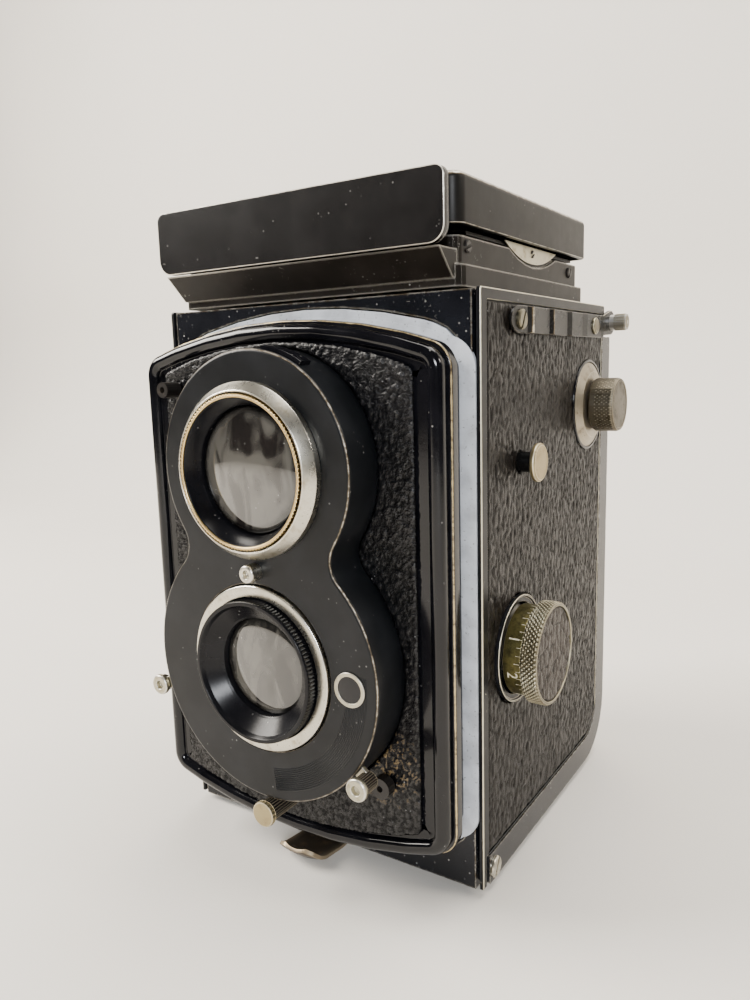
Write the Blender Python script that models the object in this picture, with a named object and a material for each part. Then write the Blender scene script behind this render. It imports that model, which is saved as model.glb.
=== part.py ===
"""Twin lens reflex camera for 6 x 6 cm pictures on 120 roll film, with its hood, back and controls.

The origin is on the base face under the middle of the body. +X points to the side with the focusing knob,
-Y points forward through the lenses and +Z points up. Dimensions are in millimetres, and each mesh is turned
into metres where its object is made.
"""

import math

import bmesh
import bpy
from mathutils import Matrix, Vector

MM = 0.001
GAP = 0.3  # clearance between neighbouring pieces

# body
BODY_HALF = 41.75
BODY_TOP = 126.4
FRONT = -41.0
REAR = 41.0
SKIN = 1.6  # thickness of the side covers and of the back
PANEL = 0.9  # depth of the recess that a leather panel lies in
LEATHER = 0.6
CORE_HALF = 38.2
CORE_WALL = 1.6
FACE_HALF = 39.8
FACE_DEPTH = 2.5
COVER_REAR = 34.3
COVER_BASE = 7.3
COVER_TOP_REAR = 37.5
REAR_CORNER = 15.0

# lenses
TAKING_Z = 49.7
LENS_SPACING = 42.0
VIEWING_Z = TAKING_Z + LENS_SPACING

# tunnel in the body front, and the front plate that slides in it
RIM_HALF = 38.6
RIM_WIDTH = 2.1
PLATE_FACE = FRONT - 11.7
PLATE_HALF = 36.55
PLATE_LOW = 13.6
PLATE_HIGH = 114.7
PLATE_RISE = 6.4
BEAD = 3.3
RECESS = 1.1
COVER_FACE = FRONT - 20.7
COVER_WALL = 1.2

# focusing
FOCUS_Y = -22.8
FOCUS_Z = 49.2
FOCUS_PER_TURN = 9.0  # travel of the front plate for a full turn of the cam
FOCUS_BACK = -100  # knob angles at the two ends of the travel, in degrees
FOCUS_AHEAD = 200
CAM_RADIUS = 7.0

# film
FILM_Y = 33.0
GATE = 56.0
SPOOL_HALF = 32.4
SPOOL_RADIUS = 12.4
SPOOL_BORE = 2.3
TAKE_UP = (23.2, 100.7)
FEED = (13.5, 15.5)
ROLLERS = (("lower_film_roller", (29.8, 16.7)), ("upper_film_roller", (29.8, 82.7)))
ROLLER_RADIUS = 2.8

# film transport
MODULE = 1.0
CRANK_TEETH = 30
TAKE_UP_TEETH = 22
MESH = MODULE * (CRANK_TEETH + TAKE_UP_TEETH) / 2
CRANK = (0.0, TAKE_UP[1] - math.sqrt(MESH ** 2 - TAKE_UP[0] ** 2))
CRANK_RADIUS = 24.0
STUD = (-21.2, 90.7)

# back
HINGE = (39.0, 122.0)
HINGE_RADIUS = 2.5
SOCKET = (0.0, -6.2)  # the tripod socket, a little forward of the origin, which lies on its flat face
SOCKET_RADIUS = 8.5
SOCKET_NECK = 5.1
SOCKET_BORE = 3.1

# hood
HOOD_HALF = 36.3
LID_HALF = 38.0
LID_TOP = 148.0
LID_SKIRT = 138.3
LID_FRONT = -42.4
LID_REAR = 32.0
LID_PIVOT = (-39.0, 143.0)
LEAF_PIVOT = (35.2, 137.6)
LEAF_HEIGHT = 31.0
REAR_LEAF_PIVOT = (28.3, 139.6)
REAR_LEAF_HEIGHT = 22.0
MAGNIFIER_PIVOT = (-8.0, 143.2)
MAGNIFIER_REACH = 28.0
MAGNIFIER_RADIUS = 10.0
SHEET = 0.8

AXES = {
    "X": Matrix(((0, 0, 1), (1, 0, 0), (0, 1, 0))),
    "Y": Matrix(((1, 0, 0), (0, 0, 1), (0, -1, 0))),
    "Z": Matrix.Identity(3),
}
PLANES = {"X": (1, 2, 0), "Y": (0, 2, 1), "Z": (0, 1, 2)}


# ---------------------------------------------------------------- outlines

def spot(centre, radius, angle):
    """The point at a radius and an angle, in degrees, from centre."""
    turn = math.radians(angle)
    return (centre[0] + radius * math.cos(turn), centre[1] + radius * math.sin(turn))


def arc(centre, radius, start, end, steps):
    """Points along an arc, with angles in degrees."""
    return [spot(centre, radius, start + (end - start) * i / steps) for i in range(steps + 1)]


def circle(centre, radius, steps):
    return arc(centre, radius, 0, 360, steps)[:-1]


def rounded(corners, steps=3):
    """A polygon of (a, b, radius) corners with each corner turned into an arc."""
    points = []
    for i, (a, b, radius) in enumerate(corners):
        here = Vector((a, b))
        before = (Vector(corners[i - 1][:2]) - here).normalized()
        after = (Vector(corners[(i + 1) % len(corners)][:2]) - here).normalized()
        if radius == 0:
            points.append((a, b))
            continue
        half = before.angle(after) / 2
        middle = here + (before + after).normalized() * radius / math.sin(half)
        first = here + before * radius / math.tan(half) - middle
        last = here + after * radius / math.tan(half) - middle
        turn = first.angle_signed(last)
        for k in range(steps + 1):
            spoke = Matrix.Rotation(-turn * k / steps, 2) @ first
            points.append(tuple(middle + spoke))
    return points


def rectangle(low, high, radius=0.0, steps=3):
    corners = [(low[0], low[1]), (high[0], low[1]), (high[0], high[1]), (low[0], high[1])]
    return rounded([(a, b, radius) for a, b in corners], steps)


def arched(half, low, high, rise, radius, steps=8):
    """An upright outline with bowed ends: its corners are at low and high, and its ends bow out by rise."""
    bow = (half * half + rise * rise) / (2 * rise)
    spread = math.degrees(math.asin(half / bow))
    top = arc((0, high + rise - bow), bow, 90 - spread, 90 + spread, steps)
    base = arc((0, low - rise + bow), bow, 270 - spread, 270 + spread, steps)
    points = top + base
    sharp = {0, steps, steps + 1, 2 * steps + 1}
    return rounded([(a, b, radius if i in sharp else 0) for i, (a, b) in enumerate(points)], 4)


def eight(grow=0.0, steps=14):
    """The figure-eight outline round both lenses, grown outwards by grow."""
    top, base, neck = 24.5 + grow, 29.5 + grow, 6.0 - grow
    rise = ((base + neck) ** 2 - (top + neck) ** 2 + LENS_SPACING ** 2) / (2 * LENS_SPACING)
    side = math.sqrt((base + neck) ** 2 - rise ** 2)
    neck_z = TAKING_Z + rise
    low = math.degrees(math.atan2(rise, side))
    high = math.degrees(math.atan2(LENS_SPACING - rise, side))
    points = arc((0, VIEWING_Z), top, -high, 180 + high, steps)
    points += arc((-side, neck_z), neck, high, -low, 4)[1:-1]
    points += arc((0, TAKING_Z), base, 180 - low, 360 + low, steps + 4)
    points += arc((side, neck_z), neck, 180 + low, 180 - high, 4)[1:-1]
    return points


def gear(teeth, centre, first_tooth):
    """A spur gear's outline with tapered teeth, one of them pointing at the angle first_tooth."""
    pitch = 360 / teeth
    root = MODULE * teeth / 2 - 1.15 * MODULE
    tip = MODULE * teeth / 2 + 0.8 * MODULE
    points = []
    for i in range(teeth):
        middle = first_tooth + i * pitch
        for radius, share in ((root, -0.34), (tip, -0.12), (tip, 0.12), (root, 0.34)):
            points.append(spot(centre, radius, middle + share * pitch))
    return points


# ---------------------------------------------------------------- solids

def prism(outline, axis, low, high):
    """A closed solid: an outline in the plane across axis, drawn out from low to high."""
    a, b, c = PLANES[axis]
    bm = bmesh.new()
    loops = []
    for level in (low, high):
        loop = []
        for point in outline:
            place = [0.0, 0.0, 0.0]
            place[a], place[b], place[c] = point[0], point[1], level
            loop.append(bm.verts.new(place))
        loops.append(loop)
    bm.faces.new(loops[0])
    bm.faces.new(loops[1])
    for i in range(len(outline)):
        k = (i + 1) % len(outline)
        bm.faces.new((loops[0][i], loops[0][k], loops[1][k], loops[1][i]))
    bmesh.ops.recalc_face_normals(bm, faces=bm.faces)
    return bm


def frame(outer, inner, axis, low, high):
    """A closed ring between two outlines with the same number of points."""
    a, b, c = PLANES[axis]
    bm = bmesh.new()
    loops = []
    for outline, level in ((outer, low), (outer, high), (inner, high), (inner, low)):
        loop = []
        for point in outline:
            place = [0.0, 0.0, 0.0]
            place[a], place[b], place[c] = point[0], point[1], level
            loop.append(bm.verts.new(place))
        loops.append(loop)
    for n in range(4):
        first, second = loops[n], loops[(n + 1) % 4]
        for i in range(len(outer)):
            k = (i + 1) % len(outer)
            bm.faces.new((first[i], first[k], second[k], second[i]))
    bmesh.ops.recalc_face_normals(bm, faces=bm.faces)
    return bm


def turned(profile, axis, centre, steps=32):
    """A closed (radius, height) profile spun round axis through centre, with heights along the axis."""
    bm = bmesh.new()
    verts = [bm.verts.new((radius, 0, height)) for radius, height in profile]
    edges = []
    for i, vert in enumerate(verts):
        if profile[i][0] > 0 or profile[(i + 1) % len(verts)][0] > 0:
            edges.append(bm.edges.new((vert, verts[(i + 1) % len(verts)])))
    bmesh.ops.spin(bm, geom=verts + edges, angle=math.tau, steps=steps, axis=(0, 0, 1), use_merge=True)
    bmesh.ops.remove_doubles(bm, verts=bm.verts, dist=1e-4)
    bmesh.ops.recalc_face_normals(bm, faces=bm.faces)
    place = [0.0, 0.0, 0.0]
    a, b, _ = PLANES[axis]
    place[a], place[b] = centre
    bmesh.ops.transform(bm, matrix=Matrix.Translation(place) @ AXES[axis].to_4x4(), verts=bm.verts)
    return bm


def drum(radius, low, high, axis, centre, steps=32):
    return prism(circle(centre, radius, steps), axis, low, high)


def box(low, high):
    return prism(rectangle(low[:2], high[:2]), "Z", low[2], high[2])


# ---------------------------------------------------------------- objects

def clear_scene():
    for obj in list(bpy.data.objects):
        bpy.data.objects.remove(obj)


def finish(name, colour, roughness, metallic=0.0):
    made = bpy.data.materials.new(name)
    made.use_nodes = True
    shader = made.node_tree.nodes["Principled BSDF"]
    shader.inputs["Base Color"].default_value = (*colour, 1)
    shader.inputs["Roughness"].default_value = roughness
    shader.inputs["Metallic"].default_value = metallic
    return made


def pivot(name, place):
    """An empty on a joint's axis, which carries the pieces that move with that joint."""
    empty = bpy.data.objects.new(name + "_pivot", None)
    empty.location = Vector(place) * MM
    bpy.context.collection.objects.link(empty)
    return empty


def solid(name, bm, material, carrier):
    """An object whose origin is its carrier's, made from a mesh in the camera's own millimetres."""
    at = carrier.location / MM
    bmesh.ops.translate(bm, verts=bm.verts, vec=-at)
    bmesh.ops.scale(bm, verts=bm.verts, vec=(MM, MM, MM))
    mesh = bpy.data.meshes.new(name)
    bm.to_mesh(mesh)
    bm.free()
    mesh.shade_smooth()
    mesh.set_sharp_from_angle(angle=math.radians(35))
    obj = bpy.data.objects.new(name, mesh)
    obj.data.materials.append(material)
    bpy.context.collection.objects.link(obj)
    obj.parent = carrier
    return obj


def shape(target, bm, operation):
    """Adds a Boolean modifier to target, with the mesh as its hidden tool."""
    bmesh.ops.scale(bm, verts=bm.verts, vec=(MM, MM, MM))
    mesh = bpy.data.meshes.new(target.name + "_tool")
    bm.to_mesh(mesh)
    bm.free()
    tool = bpy.data.objects.new(mesh.name, mesh)
    tool.hide_render = True
    tool.display_type = "WIRE"
    bpy.context.collection.objects.link(tool)
    modifier = target.modifiers.new(operation.lower(), "BOOLEAN")
    modifier.operation = operation
    modifier.object = tool


def cut(target, *tools):
    for bm in tools:
        shape(target, bm, "DIFFERENCE")


def join(target, *tools):
    for bm in tools:
        shape(target, bm, "UNION")


# ---------------------------------------------------------------- body

def sector(centre, inner, outer, start, end, steps=8):
    return arc(centre, outer, start, end, steps) + arc(centre, inner, end, start, steps)


def mirror_outline(front_y):
    """The reflex mirror's section, a thin plate at 45 degrees that rises to the rear."""
    rear_y, through, thick = 10.0, 99.7, 1.27
    return [
        (front_y, front_y + through),
        (rear_y, rear_y + through),
        (rear_y + thick, rear_y + through - thick),
        (front_y + thick, front_y + through - thick),
    ]


def build_casting(body, black):
    """Front face, four walls, hinge lugs, mirror ledges and spool pins, cast in one piece."""
    top = BODY_TOP - GAP
    face = prism(rectangle((-FACE_HALF, 0), (FACE_HALF, top)), "Y", FRONT, FRONT + FACE_DEPTH)
    casting = solid("body_casting", face, black, body)
    outer = rectangle((-CORE_HALF, 2.4), (CORE_HALF, top - 0.2))
    wall = CORE_WALL
    inner = rectangle((-CORE_HALF + wall, 2.4 + wall), (CORE_HALF - wall, top - 0.2 - wall))
    join(casting, frame(outer, inner, "Y", FRONT + FACE_DEPTH - 0.5, COVER_REAR))
    lug_low, lug_high = HINGE[1] - HINGE_RADIUS, HINGE[1] + HINGE_RADIUS
    beam = rectangle((30.5, 115.0), (COVER_REAR - 0.4, top - 0.6))
    join(casting, prism(beam, "X", -CORE_HALF + 0.6, CORE_HALF - 0.6))
    for side in (-1, 1):
        ends = sorted((side * 34.2, side * (CORE_HALF - 0.3)))
        lug = rectangle((31.5, lug_low), (HINGE[0] + HINGE_RADIUS, lug_high), HINGE_RADIUS - 0.05, 4)
        join(casting, prism(lug, "X", *ends))
        ledge = sorted((side * 27.3, side * (CORE_HALF - 0.9)))
        join(casting, prism(mirror_outline(-28.0), "X", *ledge))
        pin = sorted((side * (SPOOL_HALF - 2), side * (CORE_HALF - 0.7)))
        join(casting, drum(SPOOL_BORE - 0.5, *pin, "X", FEED, 12))
    opening = arched(RIM_HALF + GAP, 9.3, 118.3, PLATE_RISE, 10.3)
    cut(casting, prism(opening, "Y", FRONT - 1, FRONT + FACE_DEPTH + 1))
    cut(casting, box((-31, -37, 120), (31, 21, 130)))
    cut(casting, box((-37.5, -12, 0), (37.5, 40, 8)))
    centre = (REAR - REAR_CORNER, REAR_CORNER)
    corner = arc(centre, REAR_CORNER - SKIN - 2 * GAP, -90, 0, 6)
    cut(casting, prism([*corner, (REAR + 5, centre[1]), (REAR + 5, -2), (centre[0], -2)], "X", -45, 45))
    cut(casting, drum(1.5, -50, 50, "X", HINGE, 16))
    cut(casting, drum(2.6, -50, -30, "X", TAKE_UP, 16))
    cut(casting, drum(2.6, 30, 50, "X", TAKE_UP, 16))
    cut(casting, box((34, FRONT + FACE_DEPTH + 0.3, 46.9), (39, -27, 51.5)))


def build_rim(body, aluminium):
    outer = arched(RIM_HALF, 9.6, 118.0, PLATE_RISE, 10)
    inner = arched(RIM_HALF - RIM_WIDTH, 11.7, 115.9, PLATE_RISE - 0.1, 8)
    solid("tunnel_rim", frame(outer, inner, "Y", FRONT - 0.2, FRONT + FACE_DEPTH), aluminium, body)


def cover_outline():
    """The side cover from the side: a narrow foot at the front, and a step round the back's hinge."""
    step = COVER_TOP_REAR - 1.5
    corners = [
        (FRONT, 0.3, 0), (FRONT + 1.6, 0.3, 0), (FRONT + 1.6, COVER_BASE, 0), (COVER_REAR, COVER_BASE, 9.0),
        (COVER_REAR, 118.5, 0), (step, 118.5, 0), (step, BODY_TOP, 0), (FRONT, BODY_TOP, 0),
    ]
    return rounded(corners, 4)


def panel_outline(inset=0.0):
    low = (-38.1 + inset, COVER_BASE + 0.4 + inset)
    high = (COVER_REAR - 1.0 - inset, 123.8 - inset)
    corners = [(*low, 0), (high[0], low[1], 7.0), (high[0], 117.5 - inset, 0), (*high, 0)]
    return rounded([*corners, (low[0], high[1], 0)], 4)


def build_side(body, side, cover_name, leather_name, holes, paint, leather):
    """A side cover with a lip along its top, and the leather panel in its recess."""
    inner, outer = side * (BODY_HALF - SKIN), side * BODY_HALF
    cover = solid(cover_name, prism(cover_outline(), "X", *sorted((inner, outer))), paint, body)
    lip = sorted((side * (CORE_HALF + GAP), side * (BODY_HALF - 0.5)))
    lip_front, lip_rear = FRONT + FACE_DEPTH + GAP, COVER_TOP_REAR - 2
    join(cover, box((lip[0], lip_front, BODY_TOP - 1.3), (lip[1], lip_rear, BODY_TOP - 0.05)))
    cut(cover, prism(panel_outline(), "X", *sorted((side * (BODY_HALF - PANEL), side * (BODY_HALF + 1)))))
    span = sorted((side * (BODY_HALF - LEATHER), outer))
    panel = solid(leather_name, prism(panel_outline(GAP), "X", *span), leather, body)
    reach = sorted((side * 38.0, side * 46.0))
    for centre, small, large in holes:
        if small:
            cut(cover, drum(small, *reach, "X", centre, 20))
        cut(panel, drum(large, *reach, "X", centre, 24))
    return cover


def build_sides(body, paint, leather):
    focus_holes = (((FOCUS_Y, FOCUS_Z), 3.0, 12.2), (TAKE_UP, 2.4, 11.3), (STUD, 0, 4.6))
    crank_holes = ((CRANK, 2.8, 8.6), (STUD, 0, 4.6))
    cover = build_side(body, 1, "focus_side_cover", "focus_side_leather", focus_holes, paint, leather)
    dome = [(2.4, 41.2), (10.8, 41.2), (10.8, 42.2), (8.6, 43.2), (2.4, 43.4)]
    join(cover, turned(dome, "X", TAKE_UP, 32))
    build_side(body, -1, "crank_side_cover", "crank_side_leather", crank_holes, paint, leather)


def build_studs(body, brass):
    """A button-headed stud on each side, which the neck strap clips over."""
    for side, name in ((1, "focus_side_strap_stud"), (-1, "crank_side_strap_stud")):
        base = side * (BODY_HALF - PANEL + GAP)
        heights = (base, base + side * 0.8, base + side * 1.0, side * 45.0, side * 45.4, side * 46.3)
        radii = (4.2, 4.2, 2.2, 2.2, 4.2, 3.8)
        profile = [(0, heights[0]), *zip(radii, heights), (0, heights[5])]
        solid(name, turned(profile, "X", STUD, 20), brass, body)


def build_optics_chamber(body, black, silver, glass):
    gate = prism(rectangle((-36.2, 20.3), (36.2, 79.4)), "Y", FILM_Y - 2.4, FILM_Y - 0.4)
    gate = solid("film_gate", gate, black, body)
    opening = rectangle((-GATE / 2, TAKING_Z - GATE / 2), (GATE / 2, TAKING_Z + GATE / 2))
    cut(gate, prism(opening, "Y", FILM_Y - 5, FILM_Y + 5))
    solid("reflex_mirror", prism(mirror_outline(-33.5), "X", -27, 27), silver, body)
    solid("ground_glass", box((-30.6, -36.6, 123.0), (30.6, 20.6, 125.2)), glass, body)
    for name, centre in ROLLERS:
        carrier = pivot(name, (0, *centre))
        solid(name, drum(ROLLER_RADIUS, -35, 35, "X", centre, 16), silver, carrier)


def build_strap(body, spring_steel, steel):
    """The spring strap along the upper edge of the focusing side, and the screw at its front end."""
    outline = rounded([(-29, 117.8, 2.8), (31.5, 117.8, 0.6), (31.5, 123.6, 0.6), (-29, 123.6, 2.8)], 3)
    low = BODY_HALF + GAP
    solid("hinge_spring_strap", prism(outline, "X", low, low + 0.9), spring_steel, body)
    head = [(0, low + 1.2), (2.1, low + 1.2), (1.9, low + 2.0), (0, low + 2.2)]
    screw = solid("strap_screw", turned(head, "X", (-24.0, 120.7), 16), steel, body)
    cut(screw, box((low + 1.8, -27, 120.4), (low + 3, -21, 121.0)))


# ---------------------------------------------------------------- front standard

def ring(name, profile, centre, material, carrier, steps=32):
    return solid(name, turned(profile, "Y", centre, steps), material, carrier)


def build_front_plate(front, black, leather):
    """The sliding plate: its bead, its stepped flange, its skirt and the lug that the focusing cam pushes."""
    bezel = prism(arched(PLATE_HALF, PLATE_LOW, PLATE_HIGH, PLATE_RISE, 5), "Y", PLATE_FACE, FRONT - 8)
    plate = solid("front_plate", bezel, black, front)
    flange = arched(PLATE_HALF + 0.85, PLATE_LOW - 0.8, PLATE_HIGH + 0.8, PLATE_RISE + 0.1, 5.5)
    join(plate, prism(flange, "Y", FRONT - 8.6, FRONT - 6.0))
    skirt = arched(36.0, 14.2, 114.0, 6.2, 5)
    hollow = arched(34.2, 16.0, 112.2, 5.9, 4)
    join(plate, frame(skirt, hollow, "Y", FRONT - 7, FRONT + 7))
    cam_face = FOCUS_Y - CAM_RADIUS - 0.35
    join(plate, box((34.6, FRONT + 4, FOCUS_Z - 1.5), (35.9, cam_face - 0.2, FOCUS_Z + 1.5)))
    join(plate, box((35.0, cam_face - 2.4, FOCUS_Z - 1.4), (BODY_HALF - SKIN - GAP, cam_face, FOCUS_Z + 1.4)))
    field = arched(PLATE_HALF - BEAD, PLATE_LOW + 2.6, PLATE_HIGH - 2.6, PLATE_RISE - 0.6, 2.5)
    cut(plate, prism(field, "Y", PLATE_FACE - 1, PLATE_FACE + RECESS))
    for centre in ((0, TAKING_Z), (0, VIEWING_Z)):
        cut(plate, drum(16.5, FRONT - 14, FRONT - 3, "Y", centre, 32))
    skin = arched(PLATE_HALF - BEAD - GAP, PLATE_LOW + 2.9, PLATE_HIGH - 2.9, PLATE_RISE - 0.7, 2.2)
    floor = PLATE_FACE + RECESS - GAP
    panel = solid("front_leather", prism(skin, "Y", floor - LEATHER, floor), leather, front)
    cut(panel, prism(eight(GAP), "Y", floor - 3, floor + 3))


def build_shutter_cover(front, black):
    """The figure-eight shell over both lenses, with arc-shaped slots for the three levers."""
    base = PLATE_FACE + RECESS - GAP
    cover = solid("shutter_cover", prism(eight(), "Y", COVER_FACE, base), black, front)
    cut(cover, prism(eight(-COVER_WALL, 12), "Y", COVER_FACE + COVER_WALL, base + 1))
    cut(cover, drum(16.0, COVER_FACE - 1, base + 1, "Y", (0, VIEWING_Z), 32))
    cut(cover, drum(18.3, COVER_FACE - 1, base + 1, "Y", (0, TAKING_Z), 32))
    slots = ((-66, 11, COVER_FACE + 1.25, COVER_FACE + 2.8), (154, 232, COVER_FACE + 2.5, COVER_FACE + 4.1))
    for start, end, low, high in slots:
        cut(cover, prism(sector((0, TAKING_Z), 26.5, 32, start, end), "Y", low, high))
    cut(cover, prism(sector((0, TAKING_Z), 26.5, 32, -114, -66), "Y", COVER_FACE + 7.6, base + 1))


def lens(name, radius, centre, front_y, crown, depth, glass, carrier):
    """A glass with a crowned front and a flat rear."""
    bulge = [(radius * t, front_y + crown * t * t) for t in (0, 0.35, 0.65, 0.85, 1)]
    back = front_y + depth
    ring(name, [*bulge, (radius, back), (0, back)], centre, glass, carrier, 32)


def build_viewing_lens(front, nickel, gold, black, glass):
    centre = (0, VIEWING_Z)
    face = COVER_FACE
    outer, inner, seat = 18.1, 16.1, face - GAP
    tip = face - 3.7
    slope = [(outer, seat), (outer, face - 1.6), (inner + 0.3, tip), (inner, tip), (inner, seat)]
    ring("viewing_lens_ring", slope, centre, nickel, front)
    band = [(15.0, face - 4.0), (15.8, face - 4.0), (15.8, face - 2.2), (15.0, face - 2.2)]
    ring("viewing_lens_retainer", band, centre, gold, front)
    cell = [
        (14.7, face - 3.6), (13.4, face - 0.2), (13.4, face + 3.8), (12.2, face + 3.8), (12.2, face + 14.7),
        (15.7, face + 14.7), (15.7, face - 1.9), (14.7, face - 1.9),
    ]
    ring("viewing_lens_cell", cell, centre, black, front)
    lens("viewing_lens_glass", 13.1, centre, face - 0.9, 1.0, 4.3, glass, front)


def build_taking_lens(front, nickel, black, glass):
    centre = (0, TAKING_Z)
    face = COVER_FACE
    flat = [(15.6, face - 0.7), (18.0, face - 0.7), (18.0, face + 0.9), (15.6, face + 0.9)]
    ring("taking_lens_ring", flat, centre, nickel, front)
    cell = [
        (15.3, face - 3.3), (14.3, face - 3.3), (11.0, face + 0.5), (11.0, face + 3.7), (9.6, face + 3.7),
        (9.6, face + 14.9), (15.3, face + 14.9),
    ]
    ring("taking_lens_cell", cell, centre, black, front)
    lens("taking_front_glass", 10.7, centre, face + 0.9, 1.0, 2.5, glass, front)
    lens("taking_rear_glass", 9.3, centre, face + 11.5, 0.6, 2.4, glass, front)
    case = [(16.0, face + 4.2), (25.5, face + 4.2), (25.5, face + 7.3), (16.0, face + 7.3)]
    ring("shutter_case", case, centre, nickel, front, 32)


def build_front_fittings(front, nickel, black):
    post = [(0, COVER_FACE - 3.0), (1.7, COVER_FACE - 3.0), (1.9, COVER_FACE - 2.7), (1.9, COVER_FACE - GAP)]
    post = ring("centre_post", [*post, (0, COVER_FACE - GAP)], (0, 70.7), nickel, front, 16)
    cut(post, box((-3, COVER_FACE - 4, 70.4), (3, COVER_FACE - 2.3, 71.0)))
    leather_face = PLATE_FACE + RECESS - GAP - LEATHER - GAP
    fittings = (("cable_release_socket", 2.3, 2.4, (25.0, 26.0)), ("flash_socket", 1.75, 4.2, (-29.0, 108.0)))
    for name, radius, length, centre in fittings:
        profile = [
            (0.7, leather_face - length), (radius, leather_face - length), (radius, leather_face),
            (0, leather_face), (0, leather_face - 1.0), (0.7, leather_face - 1.0),
        ]
        ring(name, profile, centre, black, front, 16)


def build_lever(name, angle, reach, low, high, knob_radius, knob_front, material):
    """A ring round the taking lens with an arm, and a round end that stands forward of it."""
    carrier = pivot(name, (0, COVER_FACE, TAKING_Z))
    centre = (0, TAKING_Z)
    inner = 16.8 if knob_front < COVER_FACE - 1 and angle == -90 else 15.8
    band = turned([(inner, low), (19.5, low), (19.5, high), (inner, high)], "Y", centre, 32)
    lever = solid(name, band, material, carrier)
    arm = Matrix.Translation((0, 0, TAKING_Z)) @ Matrix.Rotation(-math.radians(angle), 4, "Y")
    bar = box((18.6, low + 0.02, -1.5), (reach, high - 0.02, 1.5))
    bmesh.ops.transform(bar, matrix=arm, verts=bar.verts)
    join(lever, bar)
    join(lever, drum(knob_radius, knob_front, high, "Y", spot(centre, reach, angle), 20))


def build_levers(nickel, black):
    face = COVER_FACE
    build_lever("aperture_lever", -37.5, 32.0, face + 1.5, face + 2.5, 2.4, face - 2.8, nickel)
    build_lever("speed_lever", 198.2, 35.2, face + 2.8, face + 3.8, 2.4, face + 1.6, nickel)
    build_lever("release_lever", -90, 32.7, face + 7.9, face + 8.9, 2.9, face - 1.8, black)


# ---------------------------------------------------------------- controls on the sides

def cam_outline():
    """A spiral whose radius towards the front grows evenly as the knob turns."""
    per_degree = FOCUS_PER_TURN / 360
    points = []
    steps = 30
    for i in range(steps + 1):
        turn = FOCUS_BACK - 6 + (FOCUS_AHEAD - FOCUS_BACK + 12) * i / steps
        radius = CAM_RADIUS + per_degree * turn
        points.append(spot((FOCUS_Y, FOCUS_Z), radius, 180 - turn))
    return points


def build_focus_knob(brass, nickel, leather, steel):
    centre = (FOCUS_Y, FOCUS_Z)
    carrier = pivot("focus_knob", (BODY_HALF, *centre))
    cam = prism(cam_outline(), "X", CORE_HALF + GAP + 0.05, BODY_HALF - SKIN - GAP)
    solid("focus_cam", cam, steel, carrier)
    drum_profile = [(3.0, 42.5), (10.0, 42.5), (10.0, 46.4), (3.0, 46.4)]
    solid("focus_scale_drum", turned(drum_profile, "X", centre, 40), brass, carrier)
    knob = [
        (0, 40.3), (2.6, 40.3), (2.6, 46.7), (10.7, 46.7), (11.1, 47.1), (11.1, 49.6), (10.7, 50.0),
        (10.1, 50.0), (10.1, 49.5), (0, 49.5),
    ]
    solid("focus_knob", turned(knob, "X", centre, 40), nickel, carrier)
    disc = [(0, 49.8), (9.7, 49.8), (9.7, 50.2), (0, 50.4)]
    solid("focus_knob_leather", turned(disc, "X", centre, 32), leather, carrier)


def build_spool_knob(nickel):
    carrier = pivot("spool_knob", (BODY_HALF, *TAKE_UP))
    profile = [
        (0, SPOOL_HALF - 2), (SPOOL_BORE - 0.5, SPOOL_HALF - 2), (SPOOL_BORE - 0.5, 43.8),
        (6.4, 43.8), (6.8, 44.3),
        (6.8, 49.4), (6.3, 50.0), (0, 50.2),
    ]
    solid("spool_knob", turned(profile, "X", TAKE_UP, 28), nickel, carrier)


def spool(name, centre, material):
    end, core = SPOOL_HALF, 5.6
    profile = [
        (SPOOL_BORE, -end), (SPOOL_RADIUS, -end), (SPOOL_RADIUS, -end + 1), (core, -end + 1), (core, end - 1),
        (SPOOL_RADIUS, end - 1), (SPOOL_RADIUS, end), (SPOOL_BORE, end),
    ]
    carrier = pivot(name, (0, *centre))
    solid(name, turned(profile, "X", centre, 20), material, carrier)
    return carrier


def build_film_transport(steel, nickel, black):
    """The crank on the hidden side, its gear, the gear it drives, and both film spools."""
    between = math.degrees(math.atan2(TAKE_UP[1] - CRANK[1], TAKE_UP[0] - CRANK[0]))
    inner, outer = -CORE_HALF - GAP, -BODY_HALF + SKIN + GAP
    crank = pivot("crank", (outer, *CRANK))
    wheel = solid("crank_gear", prism(gear(CRANK_TEETH, CRANK, between), "X", outer, inner), steel, crank)
    join(wheel, drum(2.4, -46.4, outer + 0.5, "X", CRANK, 16))
    tip = (CRANK[0], CRANK[1] - CRANK_RADIUS)
    arm_outline = arc(CRANK, 7.8, 25, 155, 10) + arc(tip, 4.2, 190, 350, 8)
    arm = solid("crank_arm", prism(arm_outline, "X", -48.7, -46.7), nickel, crank)
    join(arm, drum(1.3, -56.5, -48.0, "X", tip, 12))
    join(arm, drum(2.6, -57.6, -56.3, "X", tip, 12))
    handle = pivot("crank_handle", (-50, *tip))
    grip = [(1.6, -56.0), (3.6, -55.6), (4.0, -53.0), (3.4, -49.4), (1.6, -49.0)]
    solid("crank_handle", turned(grip, "X", tip, 20), black, handle)
    reel = spool("take_up_spool", TAKE_UP, black)
    phase = between + 180 + 180 / TAKE_UP_TEETH
    driven = solid("take_up_gear", prism(gear(TAKE_UP_TEETH, TAKE_UP, phase), "X", outer, inner), steel, reel)
    join(driven, drum(2.0, inner - 0.5, -SPOOL_HALF - GAP, "X", TAKE_UP, 16))
    spool("feed_spool", FEED, black)


# ---------------------------------------------------------------- hood

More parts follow.
